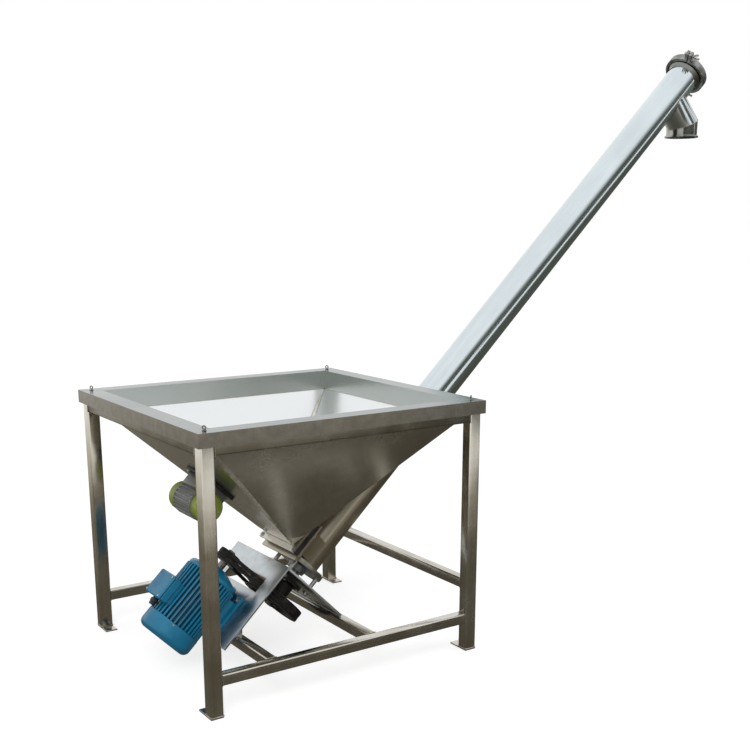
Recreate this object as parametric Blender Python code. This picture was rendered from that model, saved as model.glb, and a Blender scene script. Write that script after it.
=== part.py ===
# Screw conveyor: a square feed hopper on a welded stand, with an inclined tube screw under it,
# a belt drive with a finned foot motor below the tube, a vibrator on the hopper wall, and a
# clamped end cover and a bent spout at the top. Metres, +Z up, the tube climbs towards +X.
# The origin is the middle of the underside of the front left foot.
import math

import bmesh
import bpy
from mathutils import Matrix
from mathutils import Vector

for old in list(bpy.data.objects):
    bpy.data.objects.remove(old, do_unlink=True)

# Driving sizes
GAP = 0.0003
RIM_LENGTH = 0.9535
RIM_WIDTH = 0.897
RIM_HEIGHT = 0.806
RIM_FLANGE = 0.060
RIM_LIP = 0.040
SHEET = 0.002
POST = 0.040
POST_WALL = 0.003
POST_INSET = 0.010
FOOT_LENGTH = 0.080
FOOT_THICK = 0.005
TOP_RAIL_DROP = 0.066
LOW_RAIL = 0.033
LOW_RAIL_TOP = 0.125
SIDE_RAIL_TOP = 0.2345
MEMBER_ONE_BACK = 0.4721
MEMBER_TWO_BACK = 0.1301
MEMBER_WIDTH = 0.032

TUBE_ANGLE = math.radians(43.52)
WALL_CLEAR = 0.10224
TUBE_Y = 0.4084
TUBE_Z = 0.4106
TUBE_R = 0.057
TUBE_WALL = 0.003
TUBE_LOW = -0.2285
TUBE_TOP = 2.1085
CASING_FLANGE_R = 0.087
CASING_FLANGE_T = 0.007

OUTLET_LOW = -0.212
OUTLET_HIGH = -0.135
OUTLET_HALF = 0.085
HOPPER_FLANGE_H = 0.115
HOPPER_FLANGE_T = 0.0075
HOPPER_FLANGE_EDGE = 0.023
HOPPER_WALL_CLEAR = 0.00146
INLET_FLANGE_H = 0.0885
INLET_FLANGE_T = 0.0075
INLET_FLANGE_HALF = 0.106
INLET_FLANGE_LOW = -0.249
INLET_FLANGE_HIGH = -0.112
JOINT_BOLT_HALF = 0.0985
JOINT_BOLT_R = 0.0045

SPOUT_S = 1.983
SPOUT_BEND = 0.128
SPOUT_LIP_Z = 1.635
SPOUT_RIM = 0.005
SPOUT_RIM_H = 0.008

CORE_R = 0.021
FLIGHT_R = 0.050
FLIGHT_T = 0.003
FLIGHT_PITCH = 0.092
FLIGHT_LOW = -0.210
FLIGHT_HIGH = 2.000
FLIGHT_STEPS = 15
DRIVE_SHAFT_R = 0.014
TOP_PIN_R = 0.0125

CLAMP_R = 0.078
CLAMP_WIDTH = 0.025
CLAMP_TURN = math.radians(36)
FERRULE_R = 0.0725
FERRULE_T = 0.0085
FERRULE_STEP = 0.008
COVER_T = 0.0085

END_PLATE_S = -0.286
END_PLATE_T = 0.008
END_PLATE_TOP_HALF = 0.170
END_PLATE_LOW_HALF = 0.195
MOTOR_PLATE_H = 0.1355
MOTOR_PLATE_T = 0.006
MOTOR_PLATE_LOW = -0.600
MOTOR_PLATE_HALF = 0.168
SLOT_LOW = -0.4035
SLOT_HIGH = -0.350
SLOT_HALF = 0.108
STUD_R = 0.007
STUD_PITCH = 0.052
BEARING_R = 0.0325
BEARING_FLANGE_R = 0.052

PULLEY_S = -0.369
PULLEY_WIDTH = 0.034
BIG_PULLEY_R = 0.103
SMALL_PULLEY_R = 0.035
BELT_PITCH = 0.0155
BELT_TOP = 0.0125
BELT_BOTTOM = 0.0080
BELT_THICK = 0.0080

SHAFT_HEIGHT = 0.090
MOTOR_R = 0.0775
FIN_R = 0.0890
FIN_COUNT = 40
MOTOR_BODY_LOW = -0.628
MOTOR_BODY_HIGH = -0.452
MOTOR_SHIELD_HIGH = -0.412
FAN_COVER_LOW = -0.689
MOTOR_SHAFT_R = 0.012
FOOT_BOLT_LOW = -0.581
FOOT_BOLT_HIGH = -0.456
FOOT_BOLT_HALF = 0.070
TERMINAL_LOW = -0.600
TERMINAL_HIGH = -0.520
TERMINAL_HALF = 0.046
TERMINAL_DEEP = 0.025
LID_DEEP = 0.010
LID_EDGE = 0.002

VIB_Y = 0.450
VIB_SHARE = 0.4696
VIB_OFFSET = 0.07654
VIB_R = 0.050
VIB_BODY = 0.120
VIB_CAP_R = 0.0455
VIB_CAP = 0.0432
VIB_SHAFT_R = 0.010

EYE_R = 0.010
EYE_HOLE_R = 0.0055
EYE_INSET = 0.033
EYE_TURNS = (-48.0, 40.0, -40.0, -55.0)

# Positions that follow from the sizes above
EDGE_X = -(POST_INSET + POST / 2)
EDGE_Y = -(POST_INSET + FOOT_LENGTH / 2)
FAR_X = EDGE_X + RIM_LENGTH
FAR_Y = EDGE_Y + RIM_WIDTH
WALL_FOOT_X = FAR_X - RIM_FLANGE
WALL_FOOT_Z = RIM_HEIGHT - TOP_RAIL_DROP
AXIS_UP = Vector((math.cos(TUBE_ANGLE), 0.0, math.sin(TUBE_ANGLE)))
NORMAL_UP = Vector((-math.sin(TUBE_ANGLE), 0.0, math.cos(TUBE_ANGLE)))
SIDE = Vector((0.0, 1.0, 0.0))
# The tube keeps a set height below the foot of the hopper's right wall.
TUBE_X = WALL_FOOT_X - ((WALL_FOOT_Z - TUBE_Z) * AXIS_UP.x - WALL_CLEAR) / AXIS_UP.z
TUBE_POINT = Vector((TUBE_X, TUBE_Y + EDGE_Y, TUBE_Z))
MEMBER_ONE = TUBE_X - MEMBER_ONE_BACK
MEMBER_TWO = TUBE_X - MEMBER_TWO_BACK
MOTOR_N = MOTOR_PLATE_H + GAP + SHAFT_HEIGHT
END_PLATE_LOW = END_PLATE_S - END_PLATE_T


def tube_point(side, height, along):
    return TUBE_POINT + SIDE * side + NORMAL_UP * height + AXIS_UP * along


def frame_of(point, x_axis, y_axis, z_axis):
    rows = Matrix((x_axis, y_axis, z_axis)).transposed()
    return Matrix.Translation(point) @ rows.to_4x4()


# In the tube's frame x is the side, y is the height above the axis and z runs up the tube.
TUBE_FRAME = frame_of(TUBE_POINT, SIDE, NORMAL_UP, AXIS_UP)
MOTOR_FRAME = frame_of(tube_point(0.0, MOTOR_N, 0.0), SIDE, NORMAL_UP, AXIS_UP)
WORLD = Matrix.Identity(4)


def principled(name, color, metallic, roughness):
    material = bpy.data.materials.new(name)
    material.use_nodes = True
    shader = material.node_tree.nodes["Principled BSDF"]
    shader.inputs["Base Color"].default_value = (color[0], color[1], color[2], 1.0)
    shader.inputs["Metallic"].default_value = metallic
    shader.inputs["Roughness"].default_value = roughness
    return material


def polished_frame_steel():
    return principled("frame_steel", (0.50, 0.47, 0.42), 1.0, 0.28)


def hopper_sheet():
    return principled("hopper_sheet", (0.60, 0.59, 0.56), 1.0, 0.30)


def tube_steel():
    return principled("tube_steel", (0.66, 0.68, 0.69), 1.0, 0.25)


def plate_steel():
    return principled("plate_steel", (0.62, 0.64, 0.66), 1.0, 0.35)


def cast_stainless():
    return principled("cast_stainless", (0.42, 0.42, 0.42), 1.0, 0.40)


def shaft_steel():
    return principled("shaft_steel", (0.45, 0.45, 0.46), 1.0, 0.30)


def zinc_fastener():
    return principled("zinc_fastener", (0.68, 0.68, 0.66), 1.0, 0.32)


def black_rubber():
    return principled("black_rubber", (0.015, 0.015, 0.016), 0.0, 0.75)


def black_iron():
    return principled("black_iron", (0.03, 0.028, 0.028), 0.2, 0.55)


def motor_paint():
    return principled("motor_paint", (0.012, 0.170, 0.300), 0.0, 0.38)


def vibrator_paint():
    return principled("vibrator_paint", (0.30, 0.31, 0.30), 0.0, 0.45)


def cap_paint():
    return principled("cap_paint", (0.24, 0.27, 0.035), 0.0, 0.42)


def gland_plastic():
    return principled("gland_plastic", (0.02, 0.02, 0.02), 0.0, 0.50)


FRAME_STEEL = polished_frame_steel()
HOPPER_SHEET = hopper_sheet()
TUBE_STEEL = tube_steel()
PLATE_STEEL = plate_steel()
CAST_STAINLESS = cast_stainless()
SHAFT_STEEL = shaft_steel()
ZINC = zinc_fastener()
RUBBER = black_rubber()
BLACK_IRON = black_iron()
MOTOR_PAINT = motor_paint()
VIB_PAINT = vibrator_paint()
CAP_PAINT = cap_paint()
GLAND_PLASTIC = gland_plastic()


def mesh_from(points, faces):
    mesh = bpy.data.meshes.new("shape")
    mesh.from_pydata([tuple(p) for p in points], [], faces)
    cleaner = bmesh.new()
    cleaner.from_mesh(mesh)
    bmesh.ops.recalc_face_normals(cleaner, faces=cleaner.faces)
    cleaner.to_mesh(mesh)
    cleaner.free()
    return mesh


def loft(rings, closed=False):
    # Skin a row of equal rings; closed joins the last ring to the first one.
    count = len(rings[0])
    points = [p for ring in rings for p in ring]
    faces = []
    last = len(rings) if closed else len(rings) - 1
    for i in range(last):
        low = i * count
        high = ((i + 1) % len(rings)) * count
        for j in range(count):
            k = (j + 1) % count
            faces.append((low + j, low + k, high + k, high + j))
    if not closed:
        faces.append(tuple(reversed(range(count))))
        faces.append(tuple(range((len(rings) - 1) * count, len(rings) * count)))
    return mesh_from(points, faces)


def revolve(profile, steps, closed=True, turn=0.5):
    # Spin a profile of (radius, height) pairs round local z.
    rings = []
    for radius, height in profile:
        ring = []
        for i in range(steps):
            angle = 2 * math.pi * (i + turn) / steps
            ring.append(Vector((radius * math.cos(angle), radius * math.sin(angle), height)))
        rings.append(ring)
    return loft(rings, closed)


def round_bar(radius, low, high, steps=24):
    return revolve([(radius, low), (radius, high)], steps, closed=False)


def fit_bore(radius, steps, gap=GAP):
    # The radius of a faceted bore whose flats clear a shaft of this radius.
    return (radius + gap) / math.cos(math.pi / steps)


def box(x0, x1, y0, y1, z0, z1):
    rings = []
    for z in (z0, z1):
        rings.append([Vector((x0, y0, z)), Vector((x1, y0, z)), Vector((x1, y1, z)), Vector((x0, y1, z))])
    return loft(rings)


def prism(outline, low, high):
    rings = []
    for z in (low, high):
        rings.append([Vector((x, y, z)) for x, y in outline])
    return loft(rings)


def shifted(mesh, matrix):
    mesh.transform(matrix)
    return mesh


def joined(meshes):
    # Several separate solids in one mesh, so that one boolean takes them all.
    cleaner = bmesh.new()
    for mesh in meshes:
        cleaner.from_mesh(mesh)
    result = bpy.data.meshes.new("group")
    cleaner.to_mesh(result)
    cleaner.free()
    return result


def combine(first, second, operation):
    body = bpy.data.objects.new("body", first)
    tool = bpy.data.objects.new("tool", second)
    bpy.context.scene.collection.objects.link(body)
    bpy.context.scene.collection.objects.link(tool)
    modifier = body.modifiers.new("cut", "BOOLEAN")
    modifier.operation = operation
    modifier.solver = "EXACT"
    modifier.object = tool
    graph = bpy.context.evaluated_depsgraph_get()
    result = bpy.data.meshes.new_from_object(body.evaluated_get(graph))
    bpy.data.objects.remove(body, do_unlink=True)
    bpy.data.objects.remove(tool, do_unlink=True)
    cleaner = bmesh.new()
    cleaner.from_mesh(result)
    bmesh.ops.remove_doubles(cleaner, verts=cleaner.verts, dist=0.00002)
    bmesh.ops.dissolve_degenerate(cleaner, edges=cleaner.edges, dist=0.00001)
    cleaner.to_mesh(result)
    cleaner.free()
    return result


def add(first, second):
    return combine(first, second, "UNION")


def cut(first, second):
    return combine(first, second, "DIFFERENCE")


def place(name, mesh, material, frame, bevel=0.0, origin=None):
    item = bpy.data.objects.new(name, mesh)
    mesh.name = name
    mesh.materials.clear()
    mesh.materials.append(material)
    bpy.context.scene.collection.objects.link(item)
    if origin is not None:
        mesh.transform(Matrix.Translation(-Vector(origin)))
        frame = frame @ Matrix.Translation(Vector(origin))
    item.matrix_world = frame
    if bevel > 0.0:
        modifier = item.modifiers.new("edge", "BEVEL")
        modifier.width = bevel
        modifier.segments = 1
        modifier.limit_method = "ANGLE"
        modifier.angle_limit = math.radians(40)
    return item


def soft_rectangle(half_x, half_y, radius):
    # A rectangle with one flat across each rounded corner.
    points = []
    for sx, sy in ((1, 1), (-1, 1), (-1, -1), (1, -1)):
        near = (sx * half_x, sy * (half_y - radius))
        far = (sx * (half_x - radius), sy * half_y)
        points.extend((near, far) if sx * sy > 0 else (far, near))
    return points


def hollow_bar(name, start, end, width, depth, wall, across):
    # A square or oblong tube from start to end; across is the direction of its width.
    along = (end - start).normalized()
    across = Vector(across)
    frame = frame_of(start, across, along.cross(across), along)
    length = (end - start).length
    corner = min(width, depth) * 0.09
    outer = soft_rectangle(width / 2, depth / 2, corner)
    inner = soft_rectangle(width / 2 - wall, depth / 2 - wall, corner * 0.5)
    rings = [
        [Vector((x, y, 0.0)) for x, y in outer],
        [Vector((x, y, length)) for x, y in outer],
        [Vector((x, y, length)) for x, y in inner],
        [Vector((x, y, 0.0)) for x, y in inner],
    ]
    return place(name, loft(rings, closed=True), FRAME_STEEL, frame)


# Stand: four posts on foot plates, top rails, low rails and two cross members
LEFT_X = 0.0
RIGHT_X = FAR_X - POST_INSET - POST / 2
FRONT_Y = EDGE_Y + POST_INSET + POST / 2
BACK_Y = FAR_Y - POST_INSET - POST / 2
POST_TOP = RIM_HEIGHT - SHEET - GAP
POST_SPOTS = {
    "front_left": (LEFT_X, FRONT_Y),
    "front_right": (RIGHT_X, FRONT_Y),
    "back_right": (RIGHT_X, BACK_Y),
    "back_left": (LEFT_X, BACK_Y),
}

for corner_name, (px, py) in POST_SPOTS.items():
    low = Vector((px, py, FOOT_THICK + GAP))
    high = Vector((px, py, POST_TOP))
    hollow_bar("post_" + corner_name, low, high, POST, POST, POST_WALL, (1, 0, 0))
    inward = 1.0 if py < 0.3 else -1.0
    outer_edge = py - inward * POST / 2
    inner_edge = outer_edge + inward * FOOT_LENGTH
    y_low = min(outer_edge, inner_edge)
    y_high = max(outer_edge, inner_edge)
    plate = box(px - POST / 2, px + POST / 2, y_low, y_high, 0.0, FOOT_THICK)
    place("foot_" + corner_name, plate, FRAME_STEEL, WORLD, bevel=0.0008)

POST_SIDE = POST / 2 + GAP
TOP_RAIL_HIGH = TOP_RAIL_DROP - SHEET - GAP
TOP_RAIL_MID = RIM_HEIGHT - TOP_RAIL_DROP + TOP_RAIL_HIGH / 2
LOW_MID = LOW_RAIL_TOP - LOW_RAIL / 2
SIDE_MID = SIDE_RAIL_TOP - LOW_RAIL / 2


def rail_x(name, y, z, high, wide):
    start = Vector((LEFT_X + POST_SIDE, y, z))
    end = Vector((RIGHT_X - POST_SIDE, y, z))
    hollow_bar(name, start, end, wide, high, POST_WALL, (0, 1, 0))


def rail_y(name, x, z, high, wide):
    start = Vector((x, FRONT_Y + POST_SIDE, z))
    end = Vector((x, BACK_Y - POST_SIDE, z))
    hollow_bar(name, start, end, wide, high, POST_WALL, (1, 0, 0))


rail_x("top_rail_front", FRONT_Y, TOP_RAIL_MID, TOP_RAIL_HIGH, POST)
rail_x("top_rail_back", BACK_Y, TOP_RAIL_MID, TOP_RAIL_HIGH, POST)
rail_y("top_rail_left", LEFT_X, TOP_RAIL_MID, TOP_RAIL_HIGH, POST)
rail_y("top_rail_right", RIGHT_X, TOP_RAIL_MID, TOP_RAIL_HIGH, POST)
rail_x("low_rail_front", FRONT_Y, LOW_MID, LOW_RAIL, LOW_RAIL)
rail_x("low_rail_back", BACK_Y, LOW_MID, LOW_RAIL, LOW_RAIL)
rail_y("side_rail_right", RIGHT_X, SIDE_MID, LOW_RAIL, LOW_RAIL)

for member_name, member_x in (("cross_member_motor", MEMBER_ONE), ("cross_member_tube", MEMBER_TWO)):
    start = Vector((member_x, FRONT_Y + LOW_RAIL / 2 + GAP, LOW_MID))
    end = Vector((member_x, BACK_Y - LOW_RAIL / 2 - GAP, LOW_MID))
    hollow_bar(member_name, start, end, MEMBER_WIDTH, LOW_RAIL, POST_WALL, (1, 0, 0))


# Hopper: one folded sheet from the turned-down rim lip to the tilted outlet flange
def level_ring(inset, z):
    x0 = EDGE_X + inset
    x1 = FAR_X - inset
    y0 = EDGE_Y + inset
    y1 = FAR_Y - inset
    return [Vector((x0, y0, z)), Vector((x1, y0, z)), Vector((x1, y1, z)), Vector((x0, y1, z))]


def tilted_ring(grow, height):
    low = OUTLET_LOW - grow
    high = OUTLET_HIGH + grow
    half = OUTLET_HALF + grow
    return [
        tube_point(-half, height, low),
        tube_point(-half, height, high),
        tube_point(half, height, high),
        tube_point(half, height, low),
    ]


FLANGE_TOP = HOPPER_FLANGE_H + HOPPER_FLANGE_T
# The right wall starts high enough to pass over the flange's outer edge.
wall_run = (WALL_FOOT_Z - TUBE_Z) * AXIS_UP.z + (WALL_FOOT_X - TUBE_X) * AXIS_UP.x - OUTLET_HIGH
edge_share = HOPPER_FLANGE_EDGE / wall_run
wall_dip = (FLANGE_TOP - WALL_CLEAR) * edge_share
WALL_START = FLANGE_TOP + (HOPPER_WALL_CLEAR + wall_dip) / (1 - edge_share)
SHELL_END = FLANGE_TOP - SHEET
WALL_SKIN = SHEET * 1.6

# On the high side the wall runs almost level with the flange, so its skin is measured downwards.
wall_start_out = tilted_ring(WALL_SKIN, WALL_START)
for corner in (1, 2):
    wall_start_out[corner] = wall_start_out[corner] - NORMAL_UP * SHEET * 1.05
shell_rings = [
    level_ring(0.0, RIM_HEIGHT - RIM_LIP),
    level_ring(0.0, RIM_HEIGHT),
    level_ring(RIM_FLANGE, RIM_HEIGHT),
    level_ring(RIM_FLANGE, WALL_FOOT_Z),
    tilted_ring(0.0, WALL_START),
    tilted_ring(0.0, SHELL_END),
    tilted_ring(WALL_SKIN, SHELL_END),
    wall_start_out,
    level_ring(RIM_FLANGE - SHEET, WALL_FOOT_Z - SHEET * 0.5),
    level_ring(RIM_FLANGE - SHEET, RIM_HEIGHT - SHEET),
    level_ring(SHEET, RIM_HEIGHT - SHEET),
    level_ring(SHEET, RIM_HEIGHT - RIM_LIP),
]
shell_points = [p for ring in shell_rings for p in ring]
shell_faces = []
for i in range(12):
    low = i * 4
    high = ((i + 1) % 12) * 4
    for j in range(4):
        k = (j + 1) % 4
        # The two long walls twist, so each is folded on the line from its upper high corner.
        if (i, j) in ((3, 0), (7, 2)):
            shell_faces.append((low + j, low + k, high + j))
            shell_faces.append((low + k, high + k, high + j))
        elif (i, j) in ((3, 2), (7, 0)):
            shell_faces.append((low + j, high + k, high + j))
            shell_faces.append((low + j, low + k, high + k))
        else:
            shell_faces.append((low + j, low + k, high + k, high + j))
hopper_shell = mesh_from(shell_points, shell_faces)

JOINT_BOLT_LOW = OUTLET_LOW - HOPPER_FLANGE_EDGE * 0.54
JOINT_BOLT_HIGH = OUTLET_LOW + 0.060
JOINT_BOLTS = []
for side in (-JOINT_BOLT_HALF, JOINT_BOLT_HALF):
    for along in (JOINT_BOLT_LOW, JOINT_BOLT_HIGH):
        JOINT_BOLTS.append((side, along))


def plate_holes(spots, low, high):
    # Bolt holes square to the flanges, in the tube's frame.
    turn = Matrix.Rotation(math.radians(-90), 4, "X")
    bars = []
    for side, along in spots:
        bar = round_bar(JOINT_BOLT_R, low, high, 12)
        bars.append(shifted(bar, Matrix.Translation((side, 0.0, along)) @ turn))
    return joined(bars)


def slab(half, low, high, height, thick):
    return box(-half, half, height, height + thick, low, high)


FLANGE_HALF = OUTLET_HALF + HOPPER_FLANGE_EDGE
FLANGE_LOW = OUTLET_LOW - HOPPER_FLANGE_EDGE
FLANGE_HIGH = OUTLET_HIGH + HOPPER_FLANGE_EDGE
flange = slab(FLANGE_HALF, FLANGE_LOW, FLANGE_HIGH, HOPPER_FLANGE_H, HOPPER_FLANGE_T)
opening = slab(
    OUTLET_HALF + SHEET / 2,
    OUTLET_LOW - SHEET / 2,
    OUTLET_HIGH + SHEET / 2,
    HOPPER_FLANGE_H - 0.01,
    HOPPER_FLANGE_T + 0.02,
)
flange = cut(flange, opening)
flange = cut(flange, plate_holes(JOINT_BOLTS, HOPPER_FLANGE_H - 0.01, FLANGE_TOP + 0.01))
place("hopper", add(hopper_shell, shifted(flange, TUBE_FRAME)), HOPPER_SHEET, WORLD)


# Black seal between the hopper outlet and the tube inlet
SEAL_H = INLET_FLANGE_H + INLET_FLANGE_T + GAP
SEAL_T = HOPPER_FLANGE_H - GAP - SEAL_H
SEAL_LOW = FLANGE_LOW + 0.005
SEAL_HIGH = FLANGE_HIGH - 0.005
SEAL_HALF = FLANGE_HALF - 0.004
seal = slab(SEAL_HALF, SEAL_LOW, SEAL_HIGH, SEAL_H, SEAL_T)
seal = cut(seal, slab(OUTLET_HALF, OUTLET_LOW, OUTLET_HIGH, SEAL_H - 0.01, SEAL_T + 0.02))
seal = cut(seal, plate_holes(JOINT_BOLTS, SEAL_H - 0.01, SEAL_H + SEAL_T + 0.01))
place("outlet_seal", seal, RUBBER, TUBE_FRAME)

# Lifting eyes on the rim
EYE_STEPS = 14
eye_spots = level_ring(EYE_INSET, RIM_HEIGHT + GAP)
eye_names = ("front_left", "front_right", "back_right", "back_left")
for spot, eye_name, eye_turn in zip(eye_spots, eye_names, EYE_TURNS):
    outline = [(-EYE_R * 0.9, 0.0), (EYE_R * 0.9, 0.0)]
    for i in range(EYE_STEPS + 1):
        angle = math.radians(-25 + 230 * i / EYE_STEPS)
        outline.append((EYE_R * math.cos(angle), EYE_R * 1.15 + EYE_R * math.sin(angle)))
    eye = prism(outline, -0.002, 0.002)
    hole = shifted(round_bar(EYE_HOLE_R, -0.01, 0.01, 16), Matrix.Translation((0, EYE_R * 1.15, 0)))
    eye = cut(eye, hole)
    upright = Matrix.Rotation(math.radians(90), 4, "X")
    turned = Matrix.Rotation(math.radians(eye_turn), 4, "Z")
    place("eye_" + eye_name, eye, CAST_STAINLESS, Matrix.Translation(spot) @ turned @ upright)

# Tube casing: straight tube with end flange, inlet neck and flange, ferrule and spout stub
TUBE_STEPS = 40
BORE_R = TUBE_R - TUBE_WALL
FERRULE_LOW = TUBE_TOP - FERRULE_T
casing = revolve(
    [
        (CASING_FLANGE_R, TUBE_LOW),
        (CASING_FLANGE_R, TUBE_LOW + CASING_FLANGE_T),
        (TUBE_R, TUBE_LOW + CASING_FLANGE_T),
        (TUBE_R, FERRULE_LOW - 0.016),
        (FERRULE_R - FERRULE_STEP, FERRULE_LOW - 0.006),
        (FERRULE_R - FERRULE_STEP, FERRULE_LOW),
        (FERRULE_R, FERRULE_LOW),
        (FERRULE_R, TUBE_TOP),
    ],
    TUBE_STEPS,
    closed=False,
)


def neck(grow, low_height, high_height):
    # The inlet neck narrows from the outlet's width to the tube's sides.
    rings = []
    for height in (low_height, high_height):
        share = height / INLET_FLANGE_H
        half = (TUBE_R - 0.006) * (1 - share) + (OUTLET_HALF - 0.003) * share + grow
        rings.append([
            Vector((-half, height, OUTLET_LOW - grow)),
            Vector((half, height, OUTLET_LOW - grow)),
            Vector((half, height, OUTLET_HIGH + grow)),
            Vector((-half, height, OUTLET_HIGH + grow)),
        ])
    return loft(rings)


casing = add(casing, neck(TUBE_WALL, 0.004, INLET_FLANGE_H + 0.003))
casing = add(
    casing,
    slab(INLET_FLANGE_HALF, INLET_FLANGE_LOW, INLET_FLANGE_HIGH, INLET_FLANGE_H, INLET_FLANGE_T),
)

# The spout leaves the tube square to it and a mitre turns it straight down.
SPOUT_STEPS = 32
STUB_DIR = -NORMAL_UP
DROP_DIR = Vector((0, 0, -1))
MITRE_NORMAL = (STUB_DIR + DROP_DIR).normalized()
MITRE_POINT = tube_point(0.0, -SPOUT_BEND, SPOUT_S)


def pipe_ring(direction, radius, plane_point, plane_normal):
    # The ring where a pipe through the mitre point meets a plane.
    other = direction.cross(SIDE).normalized()
    ring = []
    for i in range(SPOUT_STEPS):
        angle = 2 * math.pi * i / SPOUT_STEPS
        start = MITRE_POINT + SIDE * (radius * math.cos(angle)) + other * (radius * math.sin(angle))
        travel = (plane_point - start).dot(plane_normal) / direction.dot(plane_normal)
        ring.append(start + direction * travel)
    return ring


TO_TUBE = TUBE_FRAME.inverted()


def stub(radius, top_height, overrun):
    top_point = tube_point(0.0, top_height, SPOUT_S)
    cut_point = MITRE_POINT + MITRE_NORMAL * overrun
    rings = [
        pipe_ring(STUB_DIR, radius, top_point, STUB_DIR),
        pipe_ring(STUB_DIR, radius, cut_point, MITRE_NORMAL),
    ]
    return shifted(loft(rings), TO_TUBE)


casing = add(casing, stub(TUBE_R - 0.0005, -0.015, -GAP / 2))
casing = cut(casing, round_bar(BORE_R, TUBE_LOW - 0.02, TUBE_TOP + 0.02, TUBE_STEPS))
casing = cut(casing, neck(0.0, -0.004, INLET_FLANGE_H + INLET_FLANGE_T + 0.01))
casing = cut(casing, stub(BORE_R - 0.0005, -0.010, 0.01))
casing = cut(casing, plate_holes(JOINT_BOLTS, INLET_FLANGE_H - 0.003, SEAL_H + 0.01))
place("screw_casing", casing, TUBE_STEEL, TUBE_FRAME)

# Spout: the vertical leg below the mitre with a rolled rim
spout_split = MITRE_POINT + MITRE_NORMAL * (GAP / 2)
RIM_TOP_Z = SPOUT_LIP_Z + SPOUT_RIM_H


def drop_ring(radius, z):
    return pipe_ring(DROP_DIR, radius, Vector((0, 0, z)), Vector((0, 0, 1)))


spout_rings = [
    pipe_ring(DROP_DIR, TUBE_R - 0.0005, spout_split, MITRE_NORMAL),
    drop_ring(TUBE_R - 0.0005, RIM_TOP_Z),
    drop_ring(TUBE_R + SPOUT_RIM - 0.0015, RIM_TOP_Z - 0.001),
    drop_ring(TUBE_R + SPOUT_RIM, RIM_TOP_Z - 0.003),
    drop_ring(TUBE_R + SPOUT_RIM, SPOUT_LIP_Z + 0.0015),
    drop_ring(TUBE_R + SPOUT_RIM - 0.0015, SPOUT_LIP_Z),
    drop_ring(BORE_R - 0.0005, SPOUT_LIP_Z),
    pipe_ring(DROP_DIR, BORE_R - 0.0005, spout_split, MITRE_NORMAL),
]
place("discharge_spout", loft(spout_rings, closed=True), TUBE_STEEL, WORLD)

# Screw: drive shaft with its core tube, and the flight wound round it
CORE_STEPS = 24
CORE_LOW = TUBE_LOW + 0.006
SHAFT_END = PULLEY_S - PULLEY_WIDTH / 2 - 0.010
PIN_TOP = TUBE_TOP + 0.012
screw_core = revolve(
    [
        (DRIVE_SHAFT_R - 0.0015, SHAFT_END),
        (DRIVE_SHAFT_R, SHAFT_END + 0.0015),
        (DRIVE_SHAFT_R, CORE_LOW),
        (CORE_R, CORE_LOW),
        (CORE_R, TUBE_TOP - 0.012),
        (TOP_PIN_R, TUBE_TOP - 0.012),
        (TOP_PIN_R, PIN_TOP),
    ],
    CORE_STEPS,
    closed=False,
)
place("screw_core", screw_core, SHAFT_STEEL, TUBE_FRAME)

flight_inner = fit_bore(CORE_R, FLIGHT_STEPS)
flight_turns = (FLIGHT_HIGH - FLIGHT_LOW) / FLIGHT_PITCH
flight_count = int(round(flight_turns * FLIGHT_STEPS))
flight_rings = []
for i in range(flight_count + 1):
    angle = 2 * math.pi * i / FLIGHT_STEPS
    z = FLIGHT_LOW + FLIGHT_PITCH * i / FLIGHT_STEPS
    ring = []
    for radius, lift in (
        (flight_inner, -FLIGHT_T / 2),
        (FLIGHT_R, -FLIGHT_T / 2),
        (FLIGHT_R, FLIGHT_T / 2),
        (flight_inner, FLIGHT_T / 2),
    ):
        ring.append(Vector((radius * math.cos(angle), radius * math.sin(angle), z + lift)))
    flight_rings.append(ring)
place("screw_flight", loft(flight_rings), SHAFT_STEEL, TUBE_FRAME)

# Lower cover on the casing flange, with a gland boss round the shaft
LOW_COVER_TOP = TUBE_LOW - GAP
LOW_COVER_T = 0.007
LOW_COVER_FACE = LOW_COVER_TOP - LOW_COVER_T
gland_bore = fit_bore(DRIVE_SHAFT_R, CORE_STEPS, 0.0008)
low_cover = revolve(
    [
        (gland_bore, LOW_COVER_TOP),
        (CASING_FLANGE_R, LOW_COVER_TOP),
        (CASING_FLANGE_R, LOW_COVER_FACE),
        (0.032, LOW_COVER_FACE),
        (0.030, LOW_COVER_FACE - 0.020),
        (gland_bore, LOW_COVER_FACE - 0.020),
    ],
    TUBE_STEPS,
)
place("lower_cover", low_cover, CAST_STAINLESS, TUBE_FRAME)

# Four spacer studs carry the tube on the end plate.
STUD_LOW = END_PLATE_S + GAP
STUD_HIGH = LOW_COVER_FACE - GAP
stud_number = 0
for stud_x in (-STUD_PITCH, STUD_PITCH):
    for stud_y in (-STUD_PITCH, STUD_PITCH):
        stud_number += 1
        stud = shifted(round_bar(STUD_R, STUD_LOW, STUD_HIGH, 16), Matrix.Translation((stud_x, stud_y, 0)))
        place("spacer_stud_%d" % stud_number, stud, ZINC, TUBE_FRAME, origin=(stud_x, stud_y, STUD_LOW))

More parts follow.
